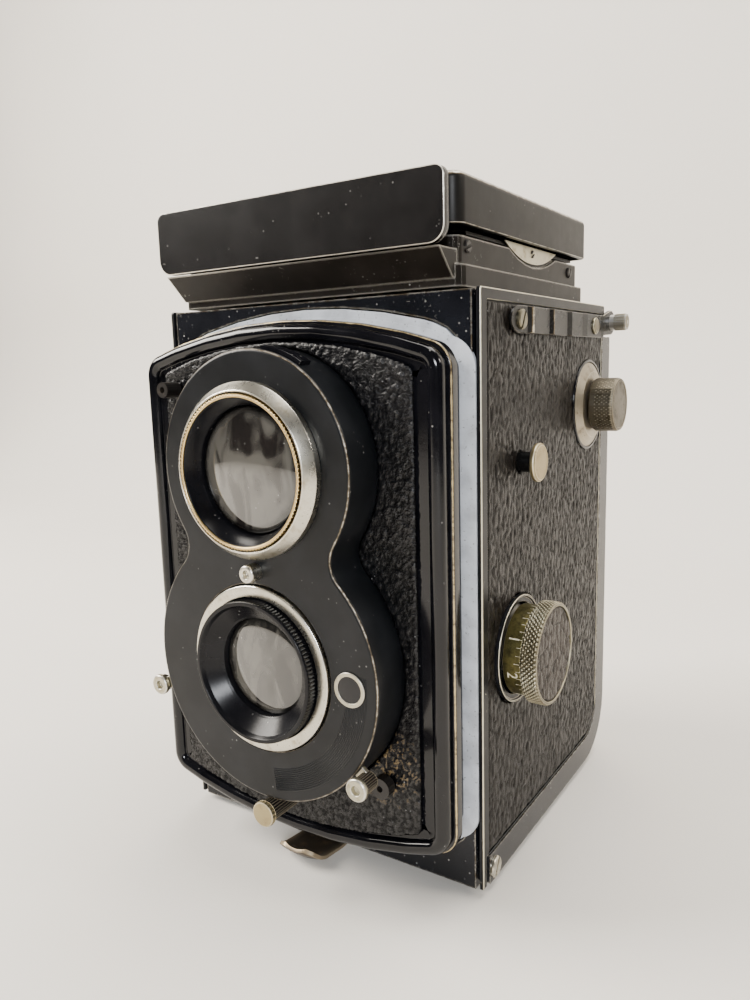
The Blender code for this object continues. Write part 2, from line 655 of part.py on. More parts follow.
def build_hood_base(body, black):
    """The fixed foot of the hood: a ledge, four low walls and the front slope that carries the name plate."""
    ledge_out = rectangle((-37.3, -40.7), (37.3, 31.8), 2.5)
    ledge_in = rectangle((-33.5, -37.5), (33.5, 28.0), 1.0)
    base = solid("hood_base", frame(ledge_out, ledge_in, "Z", BODY_TOP + GAP, 131.0), black, body)
    wall_out = rectangle((-HOOD_HALF, -40.0), (HOOD_HALF, 29.5), 2.0)
    wall_in = rectangle((-HOOD_HALF + 1.4, -38.6), (HOOD_HALF - 1.4, 28.1), 0.8)
    join(base, frame(wall_out, wall_in, "Z", 130.0, 136.5))
    slope = [(-41.3, 128.4), (-46.7, 133.8), (-39.4, 133.8), (-39.4, 128.4)]
    join(base, prism(slope, "X", -36.0, 36.0))
    for side in (-1, 1):
        notch = arc((-1.0, 168.0), 34.5, 240, 300, 8)
        reach = sorted((side * (HOOD_HALF - 0.7), side * (HOOD_HALF + 2)))
        cut(base, prism([*notch, (16, 140), (-18, 140)], "X", *reach))
    plate = rounded([(-37.5, 134.1, 3.5), (37.5, 134.1, 3.5), (37.5, 148.0, 2.0), (-37.5, 148.0, 2.0)], 4)
    solid("name_plate", prism(plate, "Y", -47.3, -45.8), black, body)


def build_lid(black):
    lid = pivot("hood_lid", (0, *LID_PIVOT))
    outer = rectangle((-LID_HALF, LID_FRONT), (LID_HALF, LID_REAR), 3.0, 4)
    shell = solid("hood_lid", prism(outer, "Z", LID_SKIRT, LID_TOP), black, lid)
    inner = rectangle((-LID_HALF + 1.2, LID_FRONT + 1.2), (LID_HALF - 1.2, LID_REAR - 1.2), 1.8, 4)
    cut(shell, prism(inner, "Z", LID_SKIRT - 1, LID_TOP - 1.2))


def build_leaves(black):
    half = SHEET / 2
    base = LEAF_PIVOT[1]
    front, rear, front_clear, slant = -33.8, 27.3, 12.0, 10.0
    for side, name in ((1, "hood_leaf_focus_side"), (-1, "hood_leaf_crank_side")):
        carrier = pivot(name, (side * LEAF_PIVOT[0], 0, base))
        outline = []
        for height, y in (
            (0, front), (front_clear, front), (LEAF_HEIGHT, front + slant),
            (LEAF_HEIGHT, rear - LEAF_HEIGHT), (0, rear),
        ):
            outline.append((side * (LEAF_PIVOT[0] - height), y))
        solid(name, prism(outline, "Z", base - half, base + half), black, carrier)
    y, z = REAR_LEAF_PIVOT
    rear = pivot("hood_rear_leaf", (0, y, z))
    tip = y - REAR_LEAF_HEIGHT
    outline = rounded([(-30, y, 0), (30, y, 0), (26, tip, 3), (-26, tip, 3)])
    solid("hood_rear_leaf", prism(outline, "Z", z - half, z + half), black, rear)


def build_magnifier(steel, glass):
    y, z = MAGNIFIER_PIVOT
    carrier = pivot("magnifier", (0, y, z))
    middle = y + MAGNIFIER_REACH
    radius = MAGNIFIER_RADIUS
    outline = [(-4, y), (4, y), *arc((0, middle), radius, -60, 240, 24)]
    arm = solid("magnifier_arm", prism(outline, "Z", z - 0.5, z + 0.5), steel, carrier)
    cut(arm, drum(radius - 1.4, z - 2, z + 2, "Z", (0, middle), 28))
    seat = radius - 1.7
    rise = [(0, 1.3), (seat * 0.6, 0.9), (seat, 0.3)]
    profile = [(r, z - h) for r, h in rise] + [(r, z + h) for r, h in rise[::-1]]
    solid("magnifier_lens", turned(profile, "Z", (0, middle), 24), glass, carrier)


# ---------------------------------------------------------------- hinged back

def build_back(paint, leather, steel, nickel):
    door = pivot("back_door", (0, *HINGE))
    front, top = FRONT + FACE_DEPTH + GAP, 118.2
    corner = arc((REAR - REAR_CORNER, REAR_CORNER), REAR_CORNER, -90, 0, 6)
    fold_radius = REAR_CORNER - 6.7
    fold = arc((REAR - REAR_CORNER, REAR_CORNER), fold_radius, 0, -90, 6)
    thick = [(front, 0), *corner, (REAR, top), (REAR - 6.4, top), *fold, (front, REAR_CORNER - fold_radius)]
    back = solid("back_door", prism(thick, "X", -BODY_HALF, BODY_HALF), paint, door)
    lining = arc((REAR - REAR_CORNER, REAR_CORNER), REAR_CORNER - SKIN, -90, 0, 6)
    hollow = [(front - 5, SKIN), *lining, (REAR - SKIN, top + 5), (front - 5, top + 5)]
    cut(back, prism(hollow, "X", -BODY_HALF + SKIN, BODY_HALF - SKIN))
    for side in (-1, 1):
        foot = sorted((side * (BODY_HALF - SKIN - 0.5), side * (BODY_HALF + 1)))
        cut(back, box((foot[0], front - 2, -1), (foot[1], FRONT + 3.2, 9)))
    join(back, box((-33.9, REAR - SKIN + 0.1, top - 1.5), (33.9, REAR - 0.1, HINGE[1] - 0.6)))
    join(back, drum(HINGE_RADIUS, -33.8, 33.8, "X", HINGE, 16))
    cut(back, drum(1.5, -50, 50, "X", HINGE, 16))
    cut(back, prism(rectangle((-37.6, 16.5), (37.6, 113.0), 2.0), "Y", REAR - PANEL, REAR + 1))
    cut(back, drum(SOCKET_RADIUS + GAP, -1, 0.8 + GAP, "Z", SOCKET, 32))
    cut(back, drum(SOCKET_NECK + GAP, -1, 3, "Z", SOCKET, 24))
    panel = prism(rectangle((-37.3, 16.8), (37.3, 112.7), 1.8), "Y", REAR - LEATHER, REAR)
    solid("back_leather", panel, leather, door)
    floor = 5.0
    socket = [
        (SOCKET_BORE, 0), (SOCKET_RADIUS, 0), (SOCKET_RADIUS, 0.8), (SOCKET_NECK, 0.8),
        (SOCKET_NECK, floor + 1), (0, floor + 1), (0, floor), (SOCKET_BORE, floor),
    ]
    solid("tripod_socket", turned(socket, "Z", SOCKET, 32), nickel, door)
    plate_front = FILM_Y + 0.4
    presser = pivot("pressure_plate", (0, plate_front, TAKING_Z))
    plate = prism(rectangle((-33, 20.5), (33, 79.0), 2.0), "Y", plate_front, plate_front + 1.0)
    solid("pressure_plate", plate, steel, presser)
    rise = REAR - SKIN - GAP - 0.5 - (plate_front + 1.0 + GAP)
    bow = (28.0 ** 2 + rise ** 2) / (2 * rise)
    spread = math.degrees(math.asin(28.0 / bow))
    centre = (REAR - SKIN - GAP - bow, TAKING_Z)
    leaf = arc(centre, bow, -spread, spread, 12) + arc(centre, bow - 0.5, spread, -spread, 12)
    solid("pressure_spring", prism(leaf, "X", -7, 7), steel, door)


def build_latch(steel):
    """The catch arm under the base, with a dished finger tab that turns up in front of the body."""
    pin_y, pin_z, half = FRONT + 6.0, -1.05, 0.65
    latch = pivot("latch", (0, pin_y, pin_z))
    low, high = pin_z - half, pin_z + half
    knuckle = arc((pin_y, pin_z), half, -90, 90, 6)
    tab = [(0.6, high), (7.4, 0.7), (10.6, 3.0), (11.3, 2.2), (8.0, -1.4), (4.0, low)]
    outline = [*knuckle, *((FRONT - ahead, z) for ahead, z in tab)]
    solid("latch_arm", prism(outline, "X", -7.0, 5.0), steel, latch)


def build_hinge_pin(steel):
    carrier = pivot("hinge_pin", (BODY_HALF, *HINGE))
    profile = [(0, -38.0), (1.2, -38.0), (1.2, 42.2), (2.1, 42.2), (2.1, 47.0), (0, 47.2)]
    solid("hinge_pin", turned(profile, "X", HINGE, 16), steel, carrier)


def main():
    clear_scene()
    black = finish("black_enamel", (0.018, 0.018, 0.018), 0.3)
    leather = finish("leather", (0.03, 0.028, 0.026), 0.55)
    aluminium = finish("aluminium", (0.62, 0.62, 0.61), 0.35, 1.0)
    nickel = finish("nickel", (0.66, 0.61, 0.5), 0.3, 1.0)
    gold = finish("gilt_brass", (0.72, 0.55, 0.28), 0.32, 1.0)
    brass = finish("olive_brass", (0.33, 0.29, 0.15), 0.45, 1.0)
    steel = finish("steel", (0.4, 0.39, 0.37), 0.4, 1.0)
    silver = finish("mirror_silver", (0.9, 0.9, 0.9), 0.03, 1.0)
    glass = finish("glass", (0.85, 0.88, 0.88), 0.05)

    body = pivot("camera_body", (0, 0, 0))
    build_casting(body, black)
    build_rim(body, aluminium)
    build_sides(body, black, leather)
    build_studs(body, brass)
    build_optics_chamber(body, black, silver, glass)
    build_strap(body, steel, steel)

    front = pivot("front_standard", (0, PLATE_FACE, (TAKING_Z + VIEWING_Z) / 2))
    build_front_plate(front, black, leather)
    build_shutter_cover(front, black)
    build_viewing_lens(front, nickel, gold, black, glass)
    build_taking_lens(front, nickel, black, glass)
    build_front_fittings(front, nickel, black)
    build_levers(nickel, black)

    build_focus_knob(brass, nickel, leather, steel)
    build_spool_knob(nickel)
    build_film_transport(steel, nickel, black)

    build_hood_base(body, black)
    build_lid(black)
    build_leaves(black)
    build_magnifier(steel, glass)

    build_back(black, leather, steel, nickel)
    build_latch(steel)
    build_hinge_pin(steel)


main()
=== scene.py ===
"""Looks for a twin lens reflex camera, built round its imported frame. Lengths are in millimetres."""

import math

import bmesh
import bpy
import numpy as np
from mathutils import Matrix, Vector, noise


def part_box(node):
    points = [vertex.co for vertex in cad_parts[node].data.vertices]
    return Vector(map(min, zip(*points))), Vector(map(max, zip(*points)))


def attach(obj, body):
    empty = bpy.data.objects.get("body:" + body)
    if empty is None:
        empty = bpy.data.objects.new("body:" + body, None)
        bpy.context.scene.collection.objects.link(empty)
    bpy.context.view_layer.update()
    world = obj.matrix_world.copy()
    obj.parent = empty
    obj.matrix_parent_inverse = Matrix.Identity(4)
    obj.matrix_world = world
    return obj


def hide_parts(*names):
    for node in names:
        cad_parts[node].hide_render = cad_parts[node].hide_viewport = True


MM = 0.001
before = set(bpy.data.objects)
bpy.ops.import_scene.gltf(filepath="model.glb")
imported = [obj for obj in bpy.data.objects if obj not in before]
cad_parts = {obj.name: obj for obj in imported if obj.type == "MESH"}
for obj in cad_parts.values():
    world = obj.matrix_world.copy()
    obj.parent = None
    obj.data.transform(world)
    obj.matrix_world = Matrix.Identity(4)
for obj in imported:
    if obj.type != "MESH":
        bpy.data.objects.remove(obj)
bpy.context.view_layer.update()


# ---- places taken from the frame

def extent(node):
    """A CAD node's lowest and highest corners, in millimetres."""
    low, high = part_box(node)
    return np.array(low) / MM, np.array(high) / MM


def middle(node):
    low, high = extent(node)
    return (low + high) / 2


VIEW = (0.0, float(middle("viewing_lens_ring")[2]))
TAKE = (0.0, float(middle("taking_lens_ring")[2]))
POST = (0.0, float(middle("centre_post")[2]))
CRANK = (0.0, float(middle("crank_gear")[2]))
KNOB = tuple(middle("focus_knob")[1:])
HINGE_PIN = tuple(middle("hinge_pin")[1:])
VIEW_RADIUS = 13.1
TAKE_RADIUS = 10.7
STUD = (-21.2, 90.7)
SPOOL = (23.2, 100.7)
BEZEL_HALF = extent("front_plate")[1][0] - 0.85
FACE = extent("shutter_cover")[0][1]
PLATE = FACE + 9.0
FRONT = extent("focus_side_cover")[0][1]
SIDE_TOP = extent("focus_side_cover")[1][2]
SKIN_X = -extent("crank_side_cover")[0][0]
FLOOR = float(extent("latch_arm")[0][2]) - 0.05


# ---- outlines

def spot(centre, radius, angle):
    turn = math.radians(angle)
    return (centre[0] + radius * math.cos(turn), centre[1] + radius * math.sin(turn))


def arc(centre, radius, start, end, steps):
    return [spot(centre, radius, start + (end - start) * i / steps) for i in range(steps + 1)]


def directions(angle):
    """Unit vectors along an angle and square to it."""
    turn = math.radians(angle)
    along = np.array([math.cos(turn), math.sin(turn)])
    return along, np.array([-along[1], along[0]])


def circle(centre, radius, steps=96):
    return np.array(arc(centre, radius, 0, 360, steps)[:-1])


def rounded(corners, steps, closed=True):
    """The points of a polygon, or of a line, of (a, b, radius) corners, and each one's share of its bend."""
    points, bent = [], []
    count = len(corners)
    for i, (a, b, radius) in enumerate(corners):
        if radius == 0 or (not closed and i in (0, count - 1)):
            points.append((a, b))
            bent.append(0.0)
            continue
        here = Vector((a, b))
        before = (Vector(corners[i - 1][:2]) - here).normalized()
        after = (Vector(corners[(i + 1) % count][:2]) - here).normalized()
        half = before.angle(after) / 2
        centre = here + (before + after).normalized() * radius / math.sin(half)
        first = here + before * radius / math.tan(half) - centre
        last = here + after * radius / math.tan(half) - centre
        turn = first.angle_signed(last)
        for k in range(steps + 1):
            points.append(tuple(centre + Matrix.Rotation(-turn * k / steps, 2) @ first))
            bent.append(math.sin(math.pi * k / steps))
    return np.array(points), np.array(bent)


def outline_of(corners, steps):
    return rounded(corners, steps)[0]


def rectangle(low, high, radii, steps):
    """A rectangle with a radius for each corner, from the low one anticlockwise."""
    corners = ((low[0], low[1]), (high[0], low[1]), (high[0], high[1]), (low[0], high[1]))
    return outline_of([(a, b, radius) for (a, b), radius in zip(corners, radii)], steps)


def arched(half, low, high, rise, radius):
    """A plate's outline with upright sides, a bowed top and a bowed base."""
    bow = (half * half + rise * rise) / (2 * rise)
    spread = math.degrees(math.asin(half / bow))
    top = arc((0, high + rise - bow), bow, 90 - spread, 90 + spread, 8)
    base = arc((0, low - rise + bow), bow, 270 - spread, 270 + spread, 8)
    ends = {0, 8, 9, 17}
    soft = 25
    return outline_of([(a, b, radius if i in ends else soft) for i, (a, b) in enumerate(top + base)], 8)


def eight():
    """The figure-eight outline round both lenses."""
    spacing = VIEW[1] - TAKE[1]
    top, base, neck = 24.5, 29.5, 6.0
    rise = ((base + neck) ** 2 - (top + neck) ** 2 + spacing ** 2) / (2 * spacing)
    side = math.sqrt((base + neck) ** 2 - rise ** 2)
    low = math.degrees(math.atan2(rise, side))
    high = math.degrees(math.atan2(spacing - rise, side))
    points = arc(VIEW, top, -high, 180 + high, 64)
    points += arc((-side, TAKE[1] + rise), neck, high, -low, 10)[1:-1]
    points += arc(TAKE, base, 180 - low, 360 + low, 76)
    points += arc((side, TAKE[1] + rise), neck, 180 + low, 180 - high, 10)[1:-1]
    return np.array(points)


def inset(outline, distance):
    """An outline, listed anticlockwise, moved inwards by distance."""
    ahead = np.roll(outline, -1, 0) - outline
    ahead /= np.linalg.norm(ahead, axis=1)[:, None]
    behind = np.roll(ahead, 1, 0)
    inward = np.stack([-(ahead + behind)[:, 1], (ahead + behind)[:, 0]], 1)
    inward /= np.linalg.norm(inward, axis=1)[:, None]
    stretch = np.clip((inward * np.stack([-ahead[:, 1], ahead[:, 0]], 1)).sum(1), 0.4, 1)
    return outline + inward * (distance / stretch)[:, None]


def anticlockwise(outline):
    outline = np.asarray(outline)
    a, b = outline[:, 0], outline[:, 1]
    area = (a * np.roll(b, -1) - b * np.roll(a, -1)).sum()
    return outline if area > 0 else outline[::-1]


# ---- meshes

PLANES = {"X": (1, 2, 0), "Y": (0, 2, 1), "Z": (0, 1, 2)}


def lift(outline, axis, level):
    """Points of the plane across axis, at that level."""
    a, b, c = PLANES[axis]
    placed = np.zeros((len(outline), 3))
    placed[:, a], placed[:, b], placed[:, c] = outline[:, 0], outline[:, 1], level
    return placed


def new_object(name, data):
    obj = bpy.data.objects.new(name, data)
    bpy.context.scene.collection.objects.link(obj)
    return obj


def new_mesh(name, points, faces):
    mesh = bpy.data.meshes.new(name)
    mesh.from_pydata([tuple(p) for p in np.asarray(points) * MM], [], faces)
    return mesh


def mesh_from(bm, name):
    mesh = bpy.data.meshes.new(name)
    bm.to_mesh(mesh)
    bm.free()
    return mesh


def store(mesh, name, values):
    layer = mesh.attributes.new(name, "FLOAT", "POINT")
    layer.data.foreach_set("value", np.asarray(values, np.float32))


def repair_normals(mesh):
    bm = bmesh.new()
    bm.from_mesh(mesh)
    bmesh.ops.recalc_face_normals(bm, faces=bm.faces)
    bm.to_mesh(mesh)
    bm.free()


def finish_piece(mesh, name, material, body="camera_body", node=None, sharp=40, slot=None):
    """Makes the object that rides on a CAD body. node is the CAD node that it stands for, if any."""
    obj = new_object(name, mesh)
    repair_normals(mesh)
    mesh.shade_smooth()
    if sharp:
        mesh.set_sharp_from_angle(angle=math.radians(sharp))
    mesh.materials.append(material)
    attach(obj, body)
    if node:
        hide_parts(node)
    return obj


def piece(name, points, faces, material, body="camera_body", wear=None, **more):
    """A mesh object with its wear, from 0 to 1, stored for its material."""
    mesh = new_mesh(name, points, faces)
    mesh.validate()
    if wear is not None:
        store(mesh, "wear", wear)
    finish_piece(mesh, name, material, body, **more)


def quads(first, second):
    """The four corners of each face between two loops of the same count."""
    return [(first[i - 1], first[i], second[i], second[i - 1]) for i in range(len(first))]


def skin_loops(loops, ring=False):
    """Faces between loops with equal counts: a closed ring of loops, or a tube with both ends filled."""
    count = len(loops[0])
    faces = []
    for n in range(len(loops) if ring else len(loops) - 1):
        m = (n + 1) % len(loops)
        for i in range(count):
            k = (i + 1) % count
            faces.append((n * count + i, n * count + k, m * count + k, m * count + i))
    if not ring:
        faces.append(tuple(range(count)))
        faces.append(tuple(range((len(loops) - 1) * count, len(loops) * count)))
    return np.concatenate(loops), faces


def swept(name, outline, profile, axis, material, body="camera_body", ring=False, steps=5, **more):
    """A profile of (inset, level, corner radius) carried round an outline: a plate, or a closed ring."""
    outline = anticlockwise(outline)
    line, bent = rounded(profile, steps, closed=ring)
    loops = [lift(inset(outline, a), axis, b) for a, b in line]
    points, faces = skin_loops(loops, ring)
    piece(name, points, faces, material, body, wear=np.repeat(bent, len(outline)), **more)


# A turned piece is closed at this radius, and relief this far below its tops is no longer rubbed.
CORE = 0.02
RUBBED_DEPTH = 0.16


def turned(name, profile, axis, centre, material, body, ring=False, steps=96, relief=None, over=0, **more):
    """A (radius, height, corner radius) profile turned round axis, with relief where its radius is over."""
    line, bent = rounded(profile, 4, closed=ring)
    angles = np.linspace(0, math.tau, steps, endpoint=False)
    loops, wear = [], []
    for (radius, height), worn in zip(line, bent):
        cut = relief(angles, height) if relief and radius >= over else np.zeros(steps)
        reach = max(radius, CORE) + cut
        loop = np.stack([centre[0] + reach * np.cos(angles), centre[1] + reach * np.sin(angles)], 1)
        loops.append(lift(loop, axis, height))
        tops = np.clip(1 + cut / RUBBED_DEPTH, 0, 1) if np.any(cut) else np.zeros(steps)
        wear.append(np.maximum(worn, tops))
    points, faces = skin_loops(loops, ring)
    piece(name, points, faces, material, body, wear=np.concatenate(wear), **more)


def plate(name, outer, holes, axis, low, high, edge, material, body="camera_body", hole_edge=0.15, **more):
    """A flat plate with holes. Its face at high is rounded off by edge, and by hole_edge at the holes."""
    up = 1 if high > low else -1
    bm = bmesh.new()
    wear = bm.verts.layers.float.new("wear")
    rims = {low: [], high: []}
    for n, outline in enumerate([outer, *holes]):
        outline = anticlockwise(outline)
        radius, side = (edge, 1) if n == 0 else (hole_edge, -1)
        corners = [(0, low, 0), (0, high, radius), (side * (radius + 0.05), high, 0)]
        line, bent = rounded(corners, 4, closed=False)
        loops = []
        for (a, level), worn in zip(line, bent):
            loop = [bm.verts.new(p * MM) for p in lift(inset(outline, a), axis, level)]
            for v in loop:
                v[wear] = worn
            loops.append(loop)
        for first, second in zip(loops, loops[1:]):
            for face in quads(first, second):
                bm.faces.new(face)
        for level, loop in ((low, loops[0]), (high, loops[-1])):
            rims[level] += [bm.edges.get((loop[i - 1], loop[i])) for i in range(len(loop))]
    for level, edges in rims.items():
        normal = lift(np.zeros((1, 2)), axis, up if level == high else -up)[0]
        bmesh.ops.triangle_fill(bm, edges=edges, use_beauty=True, normal=normal)
    finish_piece(mesh_from(bm, name), name, material, body, **more)


def reach_to(points, outline):
    """For each point, the nearest place on a closed outline, and the distance to it, negative inside."""
    start = np.asarray(outline)
    along = np.roll(start, -1, 0) - start
    length = (along ** 2).sum(1)
    best = np.full(len(points), 1e9)
    place = np.zeros_like(points)
    inside = np.zeros(len(points), bool)
    for a, d, l in zip(start, along, length):
        share = np.clip(((points - a) @ d) / max(l, 1e-12), 0, 1)
        near = a + share[:, None] * d
        gap = np.hypot(*(points - near).T)
        closer = gap < best
        best[closer] = gap[closer]
        place[closer] = near[closer]
        b = a + d
        crosses = (a[1] > points[:, 1]) != (b[1] > points[:, 1])
        if d[1]:
            inside ^= crosses & (points[:, 0] < a[0] + d[0] * (points[:, 1] - a[1]) / d[1])
    return place, np.where(inside, -best, best)


PITCH = 0.42
GRAIN_DEPTH = 0.4
EDGE_ROLL = 0.45


def leather_grid(outer, holes, pitch):
    """A grid over a panel, snapped to its edges: points, distances from an edge, which count, and faces."""
    a, b = (np.arange(lo, hi + pitch, pitch) for lo, hi in zip(outer.min(0) - pitch, outer.max(0)))
    grid = np.stack(np.meshgrid(a, b, indexing="ij"), -1).reshape(-1, 2)
    edge = np.full(len(grid), 1e9)
    inner = np.ones(len(grid), bool)
    for n, outline in enumerate([outer, *holes]):
        place, gap = reach_to(grid, outline)
        gap = gap if n == 0 else -gap
        moved = (gap > -0.3 * pitch) & (gap < 1.1 * pitch)
        grid[moved] = place[moved]
        inner &= (gap < 1.1 * pitch)
        edge = np.minimum(edge, np.maximum(-gap, 0))
        edge[moved] = 0
    faces = []
    columns = len(b)
    for i in range(len(a) - 1):
        for k in range(columns - 1):
            here, there = i * columns + k, (i + 1) * columns + k
            corners = (here, there, there + 1, here + 1)
            if all(inner[c] for c in corners) and max(edge[c] for c in corners) > 0:
                faces.append(corners)
    return grid, edge, inner, faces


def leather_panel(name, outer, holes, axis, low, high, height, material, grain=(GRAIN_DEPTH, PITCH), **more):
    """A panel of leather as a fine grid: height(a, b), from 0 to 1, raises its grain from high - depth."""
    depth, pitch = grain
    up = 1 if high > low else -1
    across = PLANES[axis][2]
    grid, edge, inner, faces = leather_grid(np.asarray(outer), holes, pitch)
    ridges = np.array([height(*p) if ok else 0 for p, ok in zip(grid, inner)])
    roll = np.sqrt(np.clip(1 - (1 - np.clip(edge / EDGE_ROLL, 0, 1)) ** 2, 0, 1))
    points = lift(grid, axis, high - up * (depth * (1 - ridges) + 0.3 * (1 - roll)))
    mesh = new_mesh(name, points, faces)
    store(mesh, "height", ridges)
    bm = bmesh.new()
    bm.from_mesh(mesh)
    bmesh.ops.delete(bm, geom=[v for v in bm.verts if not v.link_faces], context="VERTS")
    bmesh.ops.dissolve_degenerate(bm, dist=1e-6, edges=bm.edges)
    rim = [e for e in bm.edges if e.is_boundary]
    skirt = bmesh.ops.extrude_edge_only(bm, edges=rim)["geom"]
    for v in skirt:
        if isinstance(v, bmesh.types.BMVert):
            v.co[across] = low * MM
    floor = [e for e in skirt if isinstance(e, bmesh.types.BMEdge) and e.is_boundary]
    bmesh.ops.triangle_fill(bm, edges=floor, use_beauty=False, normal=lift(np.zeros((1, 2)), axis, -up)[0])
    bm.to_mesh(mesh)
    bm.free()
    finish_piece(mesh, name, material, sharp=0, **more)


def rod(radius, low, high, start=0, end=0):
    """A plain cylinder's profile, its corners rounded by start and end."""
    return [(CORE, low, 0), (radius, low, start), (radius, high, end), (CORE, high, 0)]


def straight_knurl(teeth, depth):
    """Grooves along the axis."""
    return lambda angles, height: -depth * np.abs(np.sin(angles * teeth / 2)) ** 0.7


def diamond_knurl(teeth, depth, pitch):
    """Crossed spiral grooves."""
    def relief(angles, height):
        lean = math.tau * height / pitch
        first, second = (np.abs(np.sin((angles * teeth + turn) / 2)) for turn in (lean, -lean))
        return -depth * (1 - np.minimum(first, second))
    return relief


# ---- material tools

class Finish:
    """A material whose nodes are added one by one."""

    def __init__(self, name):
        self.material = bpy.data.materials.new(name)
        self.material.use_nodes = True
        self.tree = self.material.node_tree
        self.shader = self.tree.nodes["Principled BSDF"]
        place = self.add("ShaderNodeTexCoord").outputs["Object"]
        self.place = self.add("ShaderNodeMapping", {"Vector": place, "Scale": (1 / MM,) * 3}).outputs[0]

    def add(self, kind, inputs=None, **settings):
        node = self.tree.nodes.new(kind)
        for key, value in settings.items():
            setattr(node, key, value)
        for key, value in (inputs or {}).items():
            self.feed(node.inputs[key], value)
        return node

    def feed(self, socket, value):
        if isinstance(value, bpy.types.NodeSocket):
            self.tree.links.new(value, socket)
        else:
            socket.default_value = value

    def set(self, **values):
        names = {"colour": "Base Color", "coat": "Coat Weight", "clear": "Transmission Weight", "ior": "IOR",
                 "shine": "Specular IOR Level"}
        for key, value in values.items():
            self.feed(self.shader.inputs[names.get(key, key.capitalize())], value)
        return self

    def stretched(self, stretch):
        return self.add("ShaderNodeMapping", {"Vector": self.place, "Scale": stretch}).outputs[0]

    def noise(self, size, detail=4, rough=0.55, stretch=(1, 1, 1), warp=0.0):
        """Cloudy noise whose features are about size millimetres."""
        values = {"Vector": self.stretched(stretch), "Scale": 1 / size, "Detail": detail, "Roughness": rough,
                  "Distortion": warp}
        return self.add("ShaderNodeTexNoise", values).outputs["Fac"]

    def cells(self, size, feature="F1", stretch=(1, 1, 1)):
        values = {"Vector": self.stretched(stretch), "Scale": 1 / size}
        return self.add("ShaderNodeTexVoronoi", values, feature=feature).outputs["Distance"]

    def band(self, value, low, high):
        """0 below low, 1 above high, and smooth between. Low may be the greater."""
        inputs = {"Value": value, "From Min": low, "From Max": high}
        return self.add("ShaderNodeMapRange", inputs, interpolation_type="SMOOTHSTEP").outputs[0]

    def flecks(self, size, spread, cloud, low, high):
        """Small round spots, gathered where a noise of size cloud is above low."""
        return self.times(self.band(self.cells(size), *spread), self.band(self.noise(cloud), low, high))

    def scale(self, value, low, high):
        return self.add("ShaderNodeMapRange", {"Value": value, "To Min": low, "To Max": high}).outputs[0]

    def math(self, operation, a, b=0.0):
        return self.add("ShaderNodeMath", {0: a, 1: b}, operation=operation).outputs[0]

    def times(self, a, b):
        return self.math("MULTIPLY", a, b)

    def vector(self, operation, a, b):
        return self.add("ShaderNodeVectorMath", {0: a, 1: b}, operation=operation).outputs["Value"]

    def mix(self, share, a, b):
        a, b = ((*value, 1) if isinstance(value, tuple) else value for value in (a, b))
        return self.add("ShaderNodeMix", {0: share, 6: a, 7: b}, data_type="RGBA").outputs[2]

    def stored(self, name):
        return self.add("ShaderNodeAttribute", attribute_name=name).outputs["Fac"]

    def bump(self, *layers):
        """Heights as (value, depth in millimetres), one on another."""
        normal = None
        for value, depth in layers:
            node = self.add("ShaderNodeBump", {"Height": value, "Distance": depth * MM, "Strength": 1.0})
            if normal:
                self.feed(node.inputs["Normal"], normal)
            normal = node.outputs[0]
        self.feed(self.shader.inputs["Normal"], normal)
        return self.material


# ---- materials

BEVEL_REACH = 0.7
DUST = (0.4, 0.39, 0.37)
UNDERCOAT = (0.16, 0.115, 0.06)


def shader_wear(f):
    """1 on the convex edges of a node that has no wear stored, from how far a rounded normal leans off."""
    rounded_off = f.add("ShaderNodeBevel", {"Radius": BEVEL_REACH * MM}, samples=4).outputs[0]
    flat = f.add("ShaderNodeNewGeometry").outputs["Normal"]
    return f.band(f.vector("DOT_PRODUCT", rounded_off, flat), 0.995, 0.85)


def enamel(name, base, gloss, worn, specks, chips=0.0, metal=(0.42, 0.4, 0.36), shine=0.5, carried=False):
    """Black lacquer with dust, a faint ripple, and bare metal where it is rubbed or chipped."""
    f = Finish(name)
    cloud = f.noise(9, 5)
    grit = f.noise(0.8, 3, 0.7)
    wear = shader_wear(f) if carried else f.stored("wear")
    edge = f.times(wear, f.scale(f.noise(2.2, 4, 0.7), 0.4, 1.2))
    bare = f.band(edge, 1.05 - worn, 1.2 - worn)
    if chips:
        flake = f.times(f.band(grit, 0.64, 0.68), f.band(f.noise(11, 3), 0.62 - chips, 0.7))
        bare = f.math("MAXIMUM", bare, flake)
    shade = f.mix(f.band(cloud, 0.35, 0.75), base, tuple(c * 1.7 + 0.002 for c in base))
    dust = f.flecks(1.5, (0.16, 0.09), 5, 0.62 - 0.1 * specks, 0.72)
    shade = f.mix(f.times(dust, 0.6 * specks), shade, DUST)
    shade = f.mix(f.times(f.band(edge, 0.9 - worn, 1.1 - worn), 0.6), shade, UNDERCOAT)
    rough = f.math("MAXIMUM", f.scale(f.noise(3.5, 6), gloss * 0.85, gloss * 1.2), f.times(bare, 0.38))
    f.set(colour=f.mix(bare, shade, metal), metallic=f.times(bare, 0.9), roughness=rough, shine=shine)
    return f.bump((cloud, 0.03), (grit, 0.004), (bare, -0.02))


